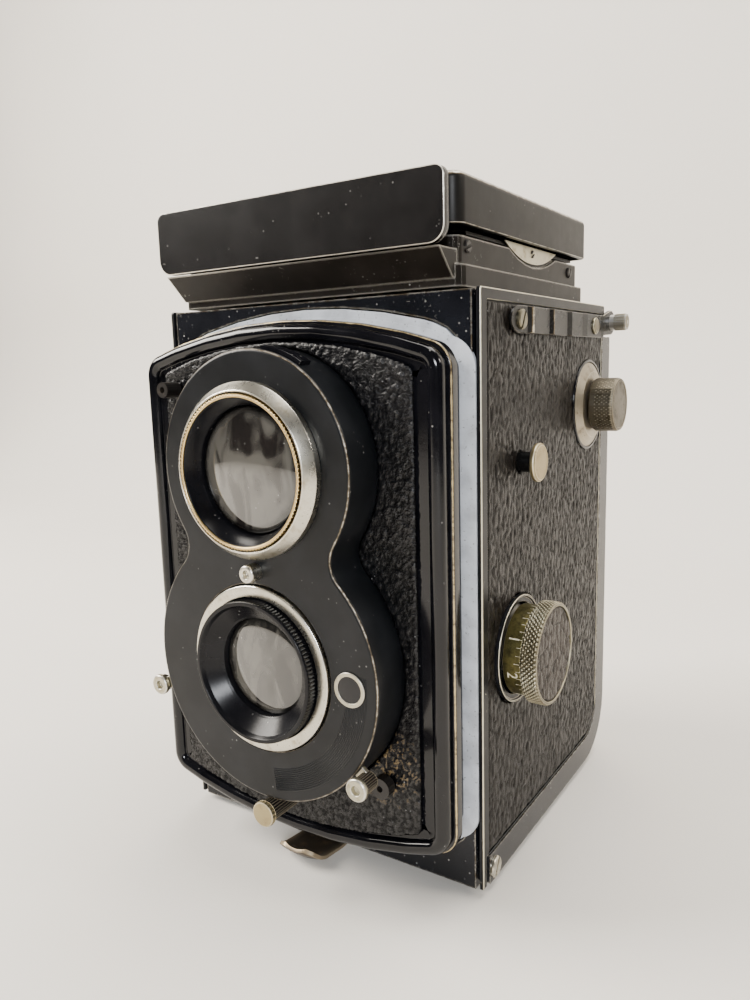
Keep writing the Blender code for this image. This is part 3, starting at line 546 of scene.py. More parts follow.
def metal(name, colour, tarnish, rough, spots, worn=(0.75, 0.73, 0.68), metallic=1.0):
    """Plated or bare metal with cloudy tarnish, fine scratches and bright rubbed edges."""
    f = Finish(name)
    cloud = f.noise(3.2, 6, 0.65)
    shade = f.mix(f.band(cloud, 0.68 - 0.3 * spots, 0.74), colour, tarnish)
    shade = f.mix(f.times(f.stored("wear"), 0.7), shade, worn)
    spotted = f.flecks(1.1, (0.2, 0.1), 2.5, 0.5, 0.62)
    shade = f.mix(f.times(spotted, spots), shade, tuple(c * 0.35 for c in tarnish))
    rough = f.math("ADD", f.scale(cloud, rough * 0.7, rough * 1.5), f.times(spotted, 0.3))
    f.set(colour=shade, metallic=metallic, roughness=rough)
    return f.bump((f.noise(0.5, 3, 0.6), 0.006), (cloud, 0.01))


def grained_leather(name, base, ridge, rough, size, stretch, patch=None, shine=0.4):
    """Leather cloth: its ridges are in the mesh; here are the finest wrinkles, painted shade that darkens
    its valleys, and a rubbed patch on the tops where one is given.
    """
    f = Finish(name)
    height = f.stored("height")
    fine = f.noise(size * 0.33, 5, 0.7, stretch=stretch)
    cells = f.cells(size * 0.5, "SMOOTH_F1", stretch=stretch)
    # Valleys take the dark base colour and ridges the ridge colour: painted shade in the grain's valleys, on
    # top of the relief in the mesh.
    shade = f.mix(f.band(height, 0.05, 0.75), base, ridge)
    shade = f.mix(f.scale(f.noise(12, 4), 0.0, 0.5), shade, tuple(c * 0.4 for c in ridge))
    if patch:
        centre, reach, colour = patch
        near = f.band(f.vector("DISTANCE", f.place, centre), reach, reach * 0.35)
        near = f.times(near, f.band(height, 0.42, 0.62))
        shade = f.mix(f.times(near, f.band(f.noise(1.6, 4, 0.7), 0.45, 0.6)), shade, colour)
    shade = f.mix(f.times(f.flecks(1.3, (0.12, 0.06), 4, 0.5, 0.65), 0.5), shade, (0.4, 0.4, 0.4))
    f.set(colour=shade, roughness=f.scale(fine, rough * 0.75, rough * 1.3),
          shine=f.scale(f.band(height, 0.1, 0.7), 0.3 * shine, shine))
    return f.bump((cells, 0.12), (fine, 0.1))


def brushed_aluminium():
    f = Finish("bare_aluminium")
    long_lines = f.noise(0.45, 4, 0.7, stretch=(1, 1, 0.06))
    shade = f.mix(f.band(f.noise(5, 5), 0.35, 0.7), (0.62, 0.65, 0.7), (0.45, 0.47, 0.51))
    shade = f.mix(f.times(f.band(f.noise(0.9, 4, 0.7), 0.62, 0.66), 0.7), shade, (0.1, 0.1, 0.1))
    f.set(colour=shade, metallic=0.15, roughness=f.scale(long_lines, 0.5, 0.75))
    return f.bump((long_lines, 0.012))


def lens_glass(name, tint, deep, centre, radius):
    """Thick lens glass over a dark barrel, darkest at its rim, with streaks, a soft reflection and dust."""
    f = Finish(name)
    split = f.add("ShaderNodeSeparateXYZ", {"Vector": f.place})
    offsets = [f.math("DIVIDE", f.math("SUBTRACT", split.outputs[index], place), radius)
               for index, place in zip((0, 2), centre)]
    out = f.math("SQRT", f.math("ADD", *(f.math("POWER", offset, 2.0) for offset in offsets)))
    streaks = f.noise(5.5, 2, 0.4, stretch=(1, 1, 0.45), warp=1.2)
    shade = f.mix(f.band(streaks, 0.38, 0.62), deep, tint)
    shade = f.mix(f.band(out, 0.82, 0.98), shade, tuple(c * 0.25 for c in deep))
    shade = f.mix(f.flecks(1.2, (0.1, 0.05), 3, 0.5, 0.6), shade, (0.45, 0.45, 0.43))
    f.set(colour=shade, roughness=f.scale(f.noise(4), 0.03, 0.09), coat=1.0, ior=1.6)
    return f.bump((f.noise(0.4, 3), 0.0015))


def clear_glass(name, roughness, share):
    f = Finish(name)
    smear = f.noise(6, 4)
    f.set(colour=f.mix(smear, (0.85, 0.9, 0.88), (0.95, 0.97, 0.96)), clear=share,
          roughness=f.scale(smear, roughness, roughness + 0.06))
    return f.bump((f.noise(0.3, 2), 0.002 + roughness * 0.02))


def silvered_mirror():
    f = Finish("silvered_mirror")
    haze = f.noise(8, 4)
    shade = f.mix(haze, (0.86, 0.88, 0.9), (0.7, 0.71, 0.7))
    return f.set(colour=shade, metallic=1.0, roughness=f.scale(haze, 0.02, 0.08)).material


def drum_brass():
    f = Finish("scale_brass_look")
    cloud = f.noise(2.6, 5, 0.7)
    shade = f.mix(f.band(cloud, 0.35, 0.7), (0.15, 0.13, 0.045), (0.045, 0.04, 0.018))
    shade = f.mix(f.times(f.stored("wear"), 0.8), shade, (0.6, 0.52, 0.28))
    f.set(colour=shade, metallic=0.85, roughness=f.scale(cloud, 0.3, 0.5))
    return f.bump((cloud, 0.02))


def pale_mark():
    f = Finish("pale_mark")
    shade = f.mix(f.band(f.noise(0.6, 4), 0.4, 0.6), (0.72, 0.66, 0.5), (0.45, 0.4, 0.27))
    f.set(colour=shade, roughness=0.6)
    return f.bump((f.noise(0.4), 0.01))


ENAMEL = enamel("gloss_enamel", (0.002, 0.002, 0.003), 0.12, -0.1, 0.9, 0.02, shine=0.36)
FLANGE_ENAMEL = enamel("flange_enamel", (0.003, 0.003, 0.004), 0.14, 0.42, 0.6, metal=(0.5, 0.4, 0.22))
BODY_ENAMEL = enamel("body_enamel", (0.0035, 0.004, 0.006), 0.22, 0.35, 1.9, 0.05, shine=0.3, carried=True)
EDGE_ENAMEL = enamel("edge_worn_enamel", (0.006, 0.006, 0.007), 0.3, 0.7, 0.8, 0.06, (0.62, 0.58, 0.46),
                     0.16)
SATIN_ENAMEL = enamel("satin_enamel", (0.004, 0.0045, 0.0055), 0.33, 0.34, 0.7, shine=0.24)
BASE_ENAMEL = enamel("hood_base_enamel", (0.0075, 0.006, 0.0048), 0.34, 0.5, 0.9, 0.09, shine=0.11,
                     carried=True)
HOOD_ENAMEL = enamel("hood_enamel", (0.007, 0.0065, 0.006), 0.36, 0.42, 0.6, 0.04, shine=0.13)
PLATE_ENAMEL = enamel("plate_enamel", (0.004, 0.0035, 0.0035), 0.24, 0.62, 0.6, metal=(0.6, 0.57, 0.5))
DARK_PAINT = enamel("matt_inner_paint", (0.01, 0.01, 0.01), 0.6, 0.1, 0.2)
CELL_ENAMEL = enamel("lens_cell_enamel", (0.003, 0.003, 0.004), 0.24, -0.1, 1.0, shine=0.2)
STRAP_ENAMEL = enamel("strap_enamel", (0.003, 0.003, 0.003), 0.26, 0.5, 0.5, 0.0, (0.55, 0.5, 0.4), 0.14)
ALUMINIUM = brushed_aluminium()
PLAIN_ALUMINIUM = metal("roller_aluminium", (0.5, 0.5, 0.5), (0.3, 0.3, 0.3), 0.35, 0.3)
NICKEL = metal("aged_nickel", (0.58, 0.55, 0.47), (0.36, 0.31, 0.22), 0.26, 0.55)
CREAM_NICKEL = metal("cream_nickel", (0.47, 0.44, 0.34), (0.28, 0.24, 0.15), 0.34, 0.6)
KNOB_NICKEL = metal("knob_nickel", (0.2, 0.18, 0.125), (0.1, 0.085, 0.055), 0.34, 0.7, (0.62, 0.57, 0.42))
HEAD_NICKEL = metal("dark_head_nickel", (0.12, 0.105, 0.078), (0.055, 0.045, 0.03), 0.4, 0.7,
                    (0.42, 0.37, 0.27))
FLANGE_NICKEL = metal("flange_nickel", (0.36, 0.32, 0.25), (0.2, 0.165, 0.12), 0.38, 0.6, (0.6, 0.55, 0.45))
GILT = metal("gilt_brass", (0.66, 0.46, 0.2), (0.36, 0.22, 0.09), 0.3, 0.5, (0.85, 0.68, 0.36))
STUD_BRASS = metal("stud_brass", (0.4, 0.33, 0.19), (0.26, 0.2, 0.11), 0.42, 0.5, (0.7, 0.64, 0.48))
STEEL = metal("machined_steel", (0.42, 0.41, 0.39), (0.25, 0.23, 0.2), 0.34, 0.3)
LATCH_BROWN = metal("worn_brown_steel", (0.05, 0.038, 0.026), (0.11, 0.075, 0.045), 0.36, 0.6,
                    (0.42, 0.33, 0.21), 0.6)
WORN_STEEL = metal("blackened_steel", (0.012, 0.01, 0.009), (0.03, 0.022, 0.014), 0.3, 0.4,
                   (0.3, 0.25, 0.17), 0.25)
SILVER = silvered_mirror()
CLEAR = clear_glass("clear_glass", 0.02, 0.9)
GROUND = clear_glass("ground_glass", 0.45, 0.6)
VIEW_GLASS = lens_glass("viewing_glass_look", (0.085, 0.08, 0.07), (0.012, 0.01, 0.009), VIEW, VIEW_RADIUS)
TAKE_GLASS = lens_glass("taking_glass_look", (0.075, 0.07, 0.06), (0.01, 0.009, 0.008), TAKE, TAKE_RADIUS)
SCALE_BRASS = drum_brass()
PALE_MARK = pale_mark()
RUBBED_CORNER = ((25, PLATE, 30), 11, (0.15, 0.1, 0.045))
# Each leather's first colour is its valleys, darkened as painted shade; the second is its ridges.
FRONT_HIDE = grained_leather("pebbled_leather", (0.001, 0.001, 0.0015), (0.0035, 0.0035, 0.0045), 0.2, 0.9,
                             (1, 1, 1), RUBBED_CORNER, 0.42)
SIDE_HIDE = grained_leather("long_grain_leather", (0.0015, 0.0012, 0.001), (0.0095, 0.0078, 0.0066), 0.32,
                            1.3, (1, 1, 0.35), shine=0.22)
KNOB_HIDE = grained_leather("knob_leather", (0.003, 0.0025, 0.002), (0.06, 0.05, 0.042), 0.4, 0.9, (1, 1, 1))


# ---- leathers

def cell_gap(*place):
    """How far a place is from the border between two cells of a Voronoi pattern."""
    near, far = noise.voronoi(Vector(place), distance_metric="DISTANCE", exponent=2.5)[0][:2]
    return far - near


def pebbled(a, b):
    """Close wrinkled pebbles about 1 mm across with narrow valleys."""
    drift = 0.7 * noise.noise(Vector((a / 2, b / 2.6, 3)))
    swell = noise.noise(Vector((a / 0.8, b / 1.2, 7)))
    valley = min(1, 2.4 * cell_gap((a + drift) / 0.95, b / 1.35, 0))
    return min(1, max(0, 0.75 * valley + 0.3 * swell + 0.12))


def long_grained(a, b):
    """Wavy, broken ridges that run upwards, about 1.5 mm apart, with narrow valleys."""
    drift = 0.9 * noise.noise(Vector((a / 4, b / 6, 3)))
    fine = noise.noise(Vector((a / 0.7, b / 2.2, 5)))
    valley = min(1, 4.2 * cell_gap((a + drift) / 1.45, b / 3.9, 1))
    return min(1, max(0, 0.75 * valley ** 0.7 + 0.3 * fine + 0.15))


# ---- front standard

def front_plate():
    outline = arched(BEZEL_HALF, 13.6, 114.7, 6.4, 5)
    back, step, floor, reach = -34.2, PLATE + 3.1, PLATE + 1.4, PLATE + 5.7
    bead = [
        (1.9, back, 0.2), (1.9, step - 0.4, 0.1), (0.2, step - 0.4, 0.1), (0, step - 0.6, 0.15),
        (0, PLATE, 1.6), (3.3, PLATE, 1.6), (3.3, floor, 0.2), (6.5, floor, 0.1), (6.5, floor + 1.2, 0.1),
        (3.1, floor + 1.2, 0.1), (3.1, back, 0.2),
    ]
    flange = [(2.0, reach, 0.1), (-0.85, reach, 0.3), (-0.85, step, 0.55), (2.0, step, 0.1)]
    top, base = FRONT - 0.25, FRONT + 0.8
    lip = [(1.75, base, 0.1), (1.75, top, 0.15), (-1.6, top, 0.05), (-1.6, base, 0.1)]
    for name, profile, look, body, more in (
        ("front_bezel", bead, ENAMEL, "front_standard", {"node": "front_plate"}),
        ("front_flange", flange, FLANGE_ENAMEL, "front_standard", {}),
        ("rim_lip", lip, ALUMINIUM, "camera_body", {"slot": "bare_aluminium"}),
    ):
        swept(name, outline, profile, "Y", look, body, ring=True, steps=8, **more)
    panel = arched(32.95, 16.5, 111.8, 5.7, 2.2)
    leather_panel("front_hide", panel, [inset(eight(), -0.3)], "Y", PLATE + 0.9, PLATE + 0.1, pebbled,
                  FRONT_HIDE, body="front_standard", node="front_leather")


def shutter_cover():
    """The figure-eight cover, its grooved band, and the small housing over the viewing lens."""
    holes = [circle(VIEW, 16.1), circle(TAKE, 18.3)]
    plate("eight_cover", eight(), holes, "Y", PLATE + 1.0, FACE, 0.7, SATIN_ENAMEL, "front_standard", 0.3,
          node="shutter_cover")
    count, low, high = 24, 22.0, 27.0
    ridges = [(low + (high - low) * k / count, FACE - (0.13 if k % 2 else 0.02)) for k in range(count + 1)]
    band = [(low, FACE + 0.15), *ridges, (high, FACE + 0.15)]
    loops = []
    for angle in range(-84, 7, 2):
        turn = math.radians(angle)
        loops.append(np.array([(r * math.cos(turn), y, TAKE[1] + r * math.sin(turn)) for r, y in band]))
    points, faces = skin_loops(loops)
    piece("grooved_band", points, faces, SATIN_ENAMEL, "front_standard", sharp=20)
    sector = np.array(arc(VIEW, 25.4, 58, 82, 12) + arc(VIEW, 24.3, 82, 58, 12))
    plate("shutter_window", sector, [], "Y", FACE + 4.2, FACE + 1.0, 0.2, ENAMEL, "front_standard")


def lens_part(name, centre, profile, material, node, ring=True, **more):
    """A turned piece of a lens, its heights measured from the cover's face towards the body."""
    profile = [(radius, FACE + height, corner) for radius, height, corner in profile]
    turned(name, profile, "Y", centre, material, "front_standard", ring=ring, node=node, **more)


def domed_glass(name, centre, material, node, radius, back, wall, apex, rise):
    """A front glass, flat at the back and domed by rise up to its apex."""
    profile = [(CORE, back, 0), (radius, back, 0.1), (radius, wall, 0.15)]
    for angle in range(82, 0, -8):
        turn = math.radians(angle)
        profile.append((radius * math.sin(turn), apex + rise * (1 - math.cos(turn)), 0))
    lens_part(name, centre, [*profile, (CORE, apex, 0)], material, node, ring=False)


def viewing_lens():
    ring = [(16.1, -0.1, 0.1), (18.1, -0.1, 0.1), (18.1, -1.6, 0.35), (16.4, -3.7, 0.25), (16.1, -3.7, 0.1)]
    lens_part("viewing_ring", VIEW, ring, NICKEL, "viewing_lens_ring")
    retainer = [(15.0, -2.2, 0.1), (15.85, -2.2, 0.1), (15.85, -4.0, 0.25), (15.0, -4.0, 0.2)]
    lens_part("viewing_retainer", VIEW, retainer, GILT, "viewing_lens_retainer", steps=720,
              relief=straight_knurl(120, 0.32), over=15.4)
    cell = [(14.8, -3.7, 0.15), (13.35, -0.2, 0.15), (13.35, 3.8, 0.1), (12.2, 4.4, 0.2), (12.2, 14.6, 0.2),
            (15.4, 14.6, 0.2), (15.4, -1.9, 0.1), (14.95, -1.9, 0.1), (14.95, -3.7, 0.1)]
    lens_part("viewing_cell", VIEW, cell, CELL_ENAMEL, "viewing_lens_cell")
    domed_glass("viewing_glass", VIEW, VIEW_GLASS, "viewing_lens_glass", radius=VIEW_RADIUS, back=3.4,
                wall=0.7, apex=-1.0, rise=1.7)


def taking_lens():
    ring = [(15.6, 0.9, 0.1), (18.0, 0.9, 0.1), (18.0, -0.7, 0.3), (15.6, -0.7, 0.1)]
    lens_part("taking_ring", TAKE, ring, NICKEL, "taking_lens_ring")
    cell = [(15.35, 3.6, 0.1), (15.35, -2.6, 0.12), (15.2, -3.3, 0.2), (14.4, -3.3, 0.2), (13.9, -2.4, 0.2),
            (11.2, 0.2, 0.2), (10.8, 0.5, 0.1), (10.8, 3.7, 0.1), (9.7, 3.9, 0.1), (9.7, 14.8, 0.2),
            (13.4, 14.8, 0.2), (13.4, 3.6, 0.1)]
    lens_part("taking_cell", TAKE, cell, CELL_ENAMEL, "taking_lens_cell", steps=600,
              relief=straight_knurl(120, 0.22), over=15.3)
    domed_glass("taking_glass", TAKE, TAKE_GLASS, "taking_front_glass", radius=TAKE_RADIUS, back=3.2,
                wall=1.9, apex=0.7, rise=1.3)


def knob_end(name, place, radius, low, high, material, body, hole, **more):
    """A round end with a domed edge, and a drilled centre when hole is not 0."""
    profile = [(CORE, low, 0), (radius, low, 0.15), (radius, high, 0.45)]
    if hole:
        profile += [(hole + 0.15, high, 0.2), (hole - 0.1, high + 1.0, 0.1), (CORE, high + 1.1, 0)]
    else:
        profile += [(CORE, high, 0)]
    turned(name, profile, "Y", place, material, body, **more)


def lever(name, angle, reach, low, high, radius, front, material, hole, teeth):
    """A sheet arm about the taking lens, a dark fluted stem, and a round end with or without teeth."""
    along, across = directions(angle)
    corners = ((19.5, -1.9), (reach - 0.5, -1.3), (reach - 0.5, 1.3), (19.5, 1.9))
    arm = np.array([TAKE + along * r + across * w for r, w in corners])
    plate(name + "_arm", arm, [], "Y", high, low, 0.15, material, name)
    end = tuple(TAKE + along * reach)
    cap = front + 1.2
    turned(name + "_stem", rod(0.82 * radius, high, cap, 0.1, 0.1), "Y", end, WORN_STEEL, name, steps=192,
           relief=straight_knurl(24, 0.2), over=0.8 * radius)
    relief = straight_knurl(teeth, 0.2) if teeth else None
    knob_end(name + "_end", end, radius, cap, front, material, name, hole, relief=relief, over=radius - 0.05,
             node=name)


def controls():
    """The levers round the taking lens, the drilled post between the lenses, and a plain round badge."""
    for name, angle, reach, low, high, radius, front, material, hole, teeth in (
        ("aperture_lever", -37.5, 32.0, -60.2, -59.2, 2.4, -64.5, CREAM_NICKEL, 0.9, 0),
        ("speed_lever", 198.2, 35.2, -58.9, -57.9, 2.4, -60.3, CREAM_NICKEL, 0.9, 0),
        ("release_lever", -90, 32.7, -53.8, -52.9, 2.9, -63.5, STUD_BRASS, 0, 22),
    ):
        lever(name, angle, reach, low, high, radius, front, material, hole, teeth)
    knob_end("drilled_post", POST, 1.9, FACE + 0.2, FACE - 3.0, NICKEL, "front_standard", 0.75,
             node="centre_post")
    badge = (23.0, 49.6)
    disc = rod(3.1, FACE + 0.1, FACE - 0.2, 0, 0.05)
    turned("round_badge", disc, "Y", badge, ENAMEL, "front_standard", steps=64)
    rim = [(2.75, FACE - 0.05, 0), (3.6, FACE - 0.05, 0.05), (3.6, FACE - 0.4, 0.15),
           (2.75, FACE - 0.35, 0.1)]
    turned("round_badge_rim", rim, "Y", badge, CREAM_NICKEL, "front_standard", ring=True, steps=64)


# ---- body sides

def cover_outline():
    """The side cover's outline in (y, z), with its rounded lower rear corner and its raised top."""
    rear, step, low, base, shoulder = 34.3, 36.0, 0.3, 7.3, 118.5
    corners = [
        (FRONT, low, 0), (FRONT + 1.6, low, 0.3), (FRONT + 1.6, base, 0.3), (rear, base, 9.0),
        (rear, shoulder, 0.3), (step, shoulder, 0.3), (step, SIDE_TOP, 0.8), (FRONT, SIDE_TOP, 0.6),
    ]
    return outline_of(corners, 12)


def panel_outline(margin=0.0):
    low, high = (FRONT + 2.9 + margin, 7.7 + margin), (33.3 - margin, 123.8 - margin)
    return rectangle(low, high, (0.5, 7.0, 0.5, 0.5), 10)


def side(sign, name, places):
    """One side: the cover as a frame round a sunk panel, and its leather, with round holes at places."""
    skin = sign * SKIN_X
    plate(name + "_frame", cover_outline(), [panel_outline(-0.3)], "X", skin - sign * 1.0, skin, 0.35,
          EDGE_ENAMEL, hole_edge=0.12, node=name + "_cover")
    holes = [circle(centre, radius, 64) for centre, radius in places]
    leather_panel(name + "_hide", panel_outline(), holes, "X", skin - sign * 0.8, skin + sign * 0.05,
                  long_grained, SIDE_HIDE, node=name + "_leather")
    inner = rectangle((FRONT + 1.8, 7.9), (33.8, 124.2), (0, 7, 0, 0), 6)
    well = circle(places[0][0], places[0][1] - 0.25, 64)
    plate(name + "_floor", inner, [well], "X", skin - sign * 1.55, skin - sign * 0.85, 0.1, SATIN_ENAMEL)


def back_panel():
    low, high = extent("back_leather")
    outline = rectangle((low[0], low[2]), (high[0], high[2]), (1.8,) * 4, 8)
    leather_panel("back_hide", outline, [], "Y", high[1] - 0.7, high[1] + 0.1, long_grained, SIDE_HIDE,
                  body="back_door", node="back_leather")


def side_part(name, centre, profile, material, body="camera_body", sign=1, base=SKIN_X, **more):
    """A turned piece on a side, its heights measured outwards from base."""
    profile = [(radius, sign * (base + height), corner) for radius, height, corner in profile]
    turned(name, profile, "X", centre, material, body, **more)


def slot_cutter(place, radius, high, up, turn):
    """A block that lies across a screw's head, turned by turn degrees."""
    half_width, half_length = 0.32, radius * 1.3
    along, across = directions(turn)
    signs = ((-1, -1), (1, -1), (1, 1), (-1, 1))
    corners = np.array([place + s * along * half_length + t * across * half_width for s, t in signs])
    points, faces = skin_loops([lift(corners, "X", high - up * 0.55), lift(corners, "X", high + up)])
    mesh = new_mesh("slot_cutter", points, faces)
    repair_normals(mesh)
    return new_object("slot_cutter", mesh)


def screw(name, place, radius, low, high, material, body="camera_body", turn=30, **more):
    """A flat cheese head with a slot cut across it."""
    up = 1 if high > low else -1
    bm = bmesh.new()
    rings = []
    for reach, level in ((radius, low), (radius, high - up * 0.25), (radius - 0.25, high)):
        rings.append([bm.verts.new(p * MM) for p in lift(circle(place, reach, 48), "X", level)])
    for first, second in zip(rings, rings[1:]):
        for face in quads(first, second):
            bm.faces.new(face)
    bm.faces.new(rings[0])
    bm.faces.new(rings[-1])
    obj = finish_piece(mesh_from(bm, name), name, material, body, **more)
    cutter = slot_cutter(place, radius, high, up, turn)
    cut = obj.modifiers.new("slot", "BOOLEAN")
    cut.operation, cut.object, cut.solver = "DIFFERENCE", cutter, "EXACT"
    shape = bpy.data.meshes.new_from_object(obj.evaluated_get(bpy.context.evaluated_depsgraph_get()))
    obj.modifiers.clear()
    obj.data = shape
    bpy.data.objects.remove(cutter)
    shape.shade_smooth()
    shape.set_sharp_from_angle(angle=math.radians(35))


def stud(sign, name):
    side_part(name + "_stud_neck", STUD, rod(2.2, -0.5, 3.3, 0.1, 0.1), STRAP_ENAMEL, sign=sign, steps=48,
              slot="stud_brass")
    head = [(CORE, 3.2, 0), (4.1, 3.4, 0.2), (4.2, 4.3, 0.4), (3.7, 4.65, 0.25), (3.3, 4.5, 0.1),
            (1.2, 4.6, 0.3), (CORE, 4.6, 0)]
    side_part(name, STUD, head, STUD_BRASS, sign=sign, node=name + "_strap_stud")


STRAP_Z = 120.7


def strap_rows():
    """The flat spring's (y, rise, half width), from its round front end over its steps to its rear."""
    line = [
        (-26.5, 0.55), (-20.5, 0.55), (-18.6, 1.25), (-16.8, 0.7), (-9.0, 0.5), (-7.6, 0.5), (-6.0, 1.2),
        (-4.4, 0.5), (4.5, 0.35), (6.5, 0.9), (8.6, 0.35), (15.5, 0.35), (18.5, 0.6), (29.5, 0.6),
        (31.4, 0.75),
    ]
    profile, _ = rounded([(y, rise, 0.9) for y, rise in line], 4, closed=False)
    front, half, length = -24.0, 2.9, 5.0
    rows = [(y, rise, half) for y, rise in profile if y > front]
    for angle in range(80, 0, -10):
        turn = math.radians(angle)
        rows.append((front - length * math.sin(turn), 0.55, half * math.cos(turn)))
    return sorted(rows)


def spring_strap():
    """The flat spring over the back's hinge pin, its screw and its rear stud."""
    thick, edge = 0.5, 0.18
    loops, wear = [], []
    for y, rise, half in strap_rows():
        lower, upper = rise + thick - edge, rise + thick
        section = [(rise, -half), (lower, -half), (upper, edge - half), (upper, 2 * edge - half)]
        section += [(a, -b) for a, b in section[::-1]]
        loops.append(np.array([(SKIN_X + 0.02 + a, y, STRAP_Z + b) for a, b in section]))
        top = 0.8 * min(1, max(0, rise - 0.7) / 0.45)
        wear += [0, 0.4, 0.6, top, top, 0.6, 0.4, 0]
    points, faces = skin_loops(loops)
    piece("bent_strap", points, faces, STRAP_ENAMEL, wear=wear, node="hinge_spring_strap")
    screw("strap_screw_head", (-24.0, STRAP_Z), 2.1, SKIN_X + 1.0, SKIN_X + 1.75, KNOB_NICKEL, turn=62,
          node="strap_screw")
    cap = [(CORE, 1.9, 0), (1.6, 1.8, 0.3), (2.1, 1.5, 0.25), (2.1, 0.7, 0), (CORE, 0.7, 0)]
    side_part("strap_rear_stud", (24.5, STRAP_Z), cap, KNOB_NICKEL, steps=48)


def latch_spine():
    """The latch arm's centre line as (ahead, up), in steps of about 0.6 mm, from its pin to its tip."""
    corners = [(0, 0, 0), (6.6, 0.02, 2.5), (13.0, 0.9, 2.5), (14.8, 1.7, 0), (16.2, 3.0, 0), (16.9, 3.7, 0)]
    line, _ = rounded(corners, 5, closed=False)
    rows = []
    for first, second in zip(line, line[1:]):
        steps = max(1, int(np.hypot(*(second - first)) / 0.6))
        rows += [first + (second - first) * k / steps for k in range(steps)]
    return np.array([*rows, line[-1]])


def latch_tab():
    """A sheet arm under the base that turns up into a dished finger tab with rounded corners."""
    low, high = extent("latch_arm")
    centre, half_width = (low[0] + high[0]) / 2, (high[0] - low[0]) / 2
    pin_y, pin_z = float(high[1]) - 0.65, low[2] + 0.65
    thick, tip_length, dish_start = 0.8, 3.2, 7.5
    rows = latch_spine()
    tip_start = rows[:, 0].max() - tip_length
    across = np.linspace(-1, 1, 15)
    edge = np.clip((np.abs(across) - 0.8) / 0.2, 0, 1)
    loops, wear = [], []
    for n, (ahead, up) in enumerate(rows):
        tip = max(0, ahead - tip_start) / tip_length
        half = half_width - 3.0 * (1 - math.sqrt(max(0, 1 - tip ** 2)))
        along = rows[min(n + 1, len(rows) - 1)] - rows[max(n - 1, 0)]
        along = along / np.hypot(*along)
        dish = 0.7 * max(0, min(1, (ahead - dish_start) / 4)) * (1 - across ** 2)
        top = [(centre + half * u, ahead + d * along[1], up - d * along[0] + 0.45)
               for u, d in zip(across, dish)]
        base = [(x, y + along[1] * thick, z - along[0] * thick) for x, y, z in top[::-1]]
        loops.append(np.array([(x, pin_y - y, pin_z + z) for x, y, z in top + base]))
        wear += [*np.maximum(0.7 * edge, tip ** 6), *edge[::-1]]
    points, faces = skin_loops(loops)
    piece("latch_tab", points, faces, LATCH_BROWN, "latch", wear=wear, node="latch_arm", sharp=50)


def hinge_end():
    """The fluted end of the hinge pin, and the dark lug round it at the end of the strap."""
    profile = [(CORE, 0.5, 0), (1.2, 0.5, 0), (1.2, 1.3, 0.1), (1.9, 1.3, 0.15), (1.9, 1.9, 0.1),
               (2.2, 2.1, 0.1), (2.2, 4.9, 0.3), (1.5, 5.4, 0.2), (CORE, 5.4, 0)]
    side_part("hinge_pin_knob", HINGE_PIN, profile, KNOB_NICKEL, "hinge_pin", steps=240,
              relief=straight_knurl(36, 0.18), over=2.15, slot="steel")
    outline = np.array([(29.8, 118.3), *arc(HINGE_PIN, 3.2, -90, 105, 14), (29.8, 123.1)])
    plate("hinge_lug", outline, [], "X", SKIN_X + 0.02, SKIN_X + 0.95, 0.2, STRAP_ENAMEL, slot="worn_steel")


def crank_details():
    """The screw that holds the crank on, and a plain washer under the arm."""
    screw("crank_hub_screw", CRANK, 3.6, -48.5, -49.8, NICKEL, "crank", turn=40)
    collar = [(4.0, 48.6, 0), (6.6, 48.6, 0.1), (6.6, 49.1, 0.25), (4.0, 49.1, 0.1)]
    side_part("crank_hub_ring", CRANK, collar, KNOB_NICKEL, "crank", -1, 0, ring=True)


def hood_foot_screws():
    """Small screws in the hood's foot, a nickel crescent at each side of it, and the back's corner screw."""
    for n, (y, z) in enumerate(((-35.6, 134.6), (22.5, 134.3))):
        screw(f"hood_screw_{n + 1}", (y, z), 1.3, 36.0, 36.8, WORN_STEEL, turn=20 + 50 * n,
              slot="worn_steel")
    chord = 138.1
    centre, radius = (-1.0, 168.0), 33.7
    spread = math.degrees(math.acos((centre[1] - chord) / radius))
    crescent = np.array(arc(centre, radius, 270 - spread, 270 + spread, 32))
    for sign, name in ((1, "focus_side"), (-1, "crank_side")):
        plate(f"hood_{name}_crescent", crescent, [], "X", sign * 35.65, sign * 35.98, 0.12, CREAM_NICKEL)
    screw("crescent_screw", (centre[0], 136.6), 0.9, 35.9, 36.3, WORN_STEEL, slot="worn_steel")
    screw("back_flange_screw", (-35.6, 3.0), 2.3, SKIN_X - 0.2, SKIN_X + 0.7, NICKEL, "back_door", turn=60,
          slot="steel")


# ---- knobs of the focus side

DRUM_RADIUS = 10.0


def focus_knob():
    drum = [(3.0, 42.4, 0), (DRUM_RADIUS, 42.4, 0.2), (DRUM_RADIUS, 46.3, 0.1), (3.0, 46.3, 0)]
    side_part("scale_drum", KNOB, drum, SCALE_BRASS, "focus_knob", base=0, ring=True,
              node="focus_scale_drum")
    rim = [(CORE, 46.5, 0), (10.4, 46.5, 0.3)]
    rim += [(11.3, 46.8 + 3.2 * k / 44, 0) for k in range(45)]
    rim += [(10.95, 50.35, 0.15), (10.4, 50.4, 0.15), (10.3, 49.7, 0.1), (CORE, 49.7, 0)]
    side_part("focus_rim", KNOB, rim, KNOB_NICKEL, "focus_knob", base=0, steps=864,
              relief=diamond_knurl(66, 0.42, 1.05), over=11.2, node="focus_knob")
    leather_panel("focus_knob_hide", circle(KNOB, 10.25), [], "X", 49.6, 50.4, long_grained, KNOB_HIDE,
                  (0.5, 0.3), body="focus_knob", node="focus_knob_leather")
    collar = [(10.3, 41.3, 0), (12.0, 41.3, 0.1), (12.0, 42.5, 0.2), (11.6, 42.5, 0.2), (11.3, 42.0, 0.1),
              (10.3, 42.0, 0.1)]
    side_part("focus_collar", KNOB, collar, EDGE_ENAMEL, base=0, ring=True)


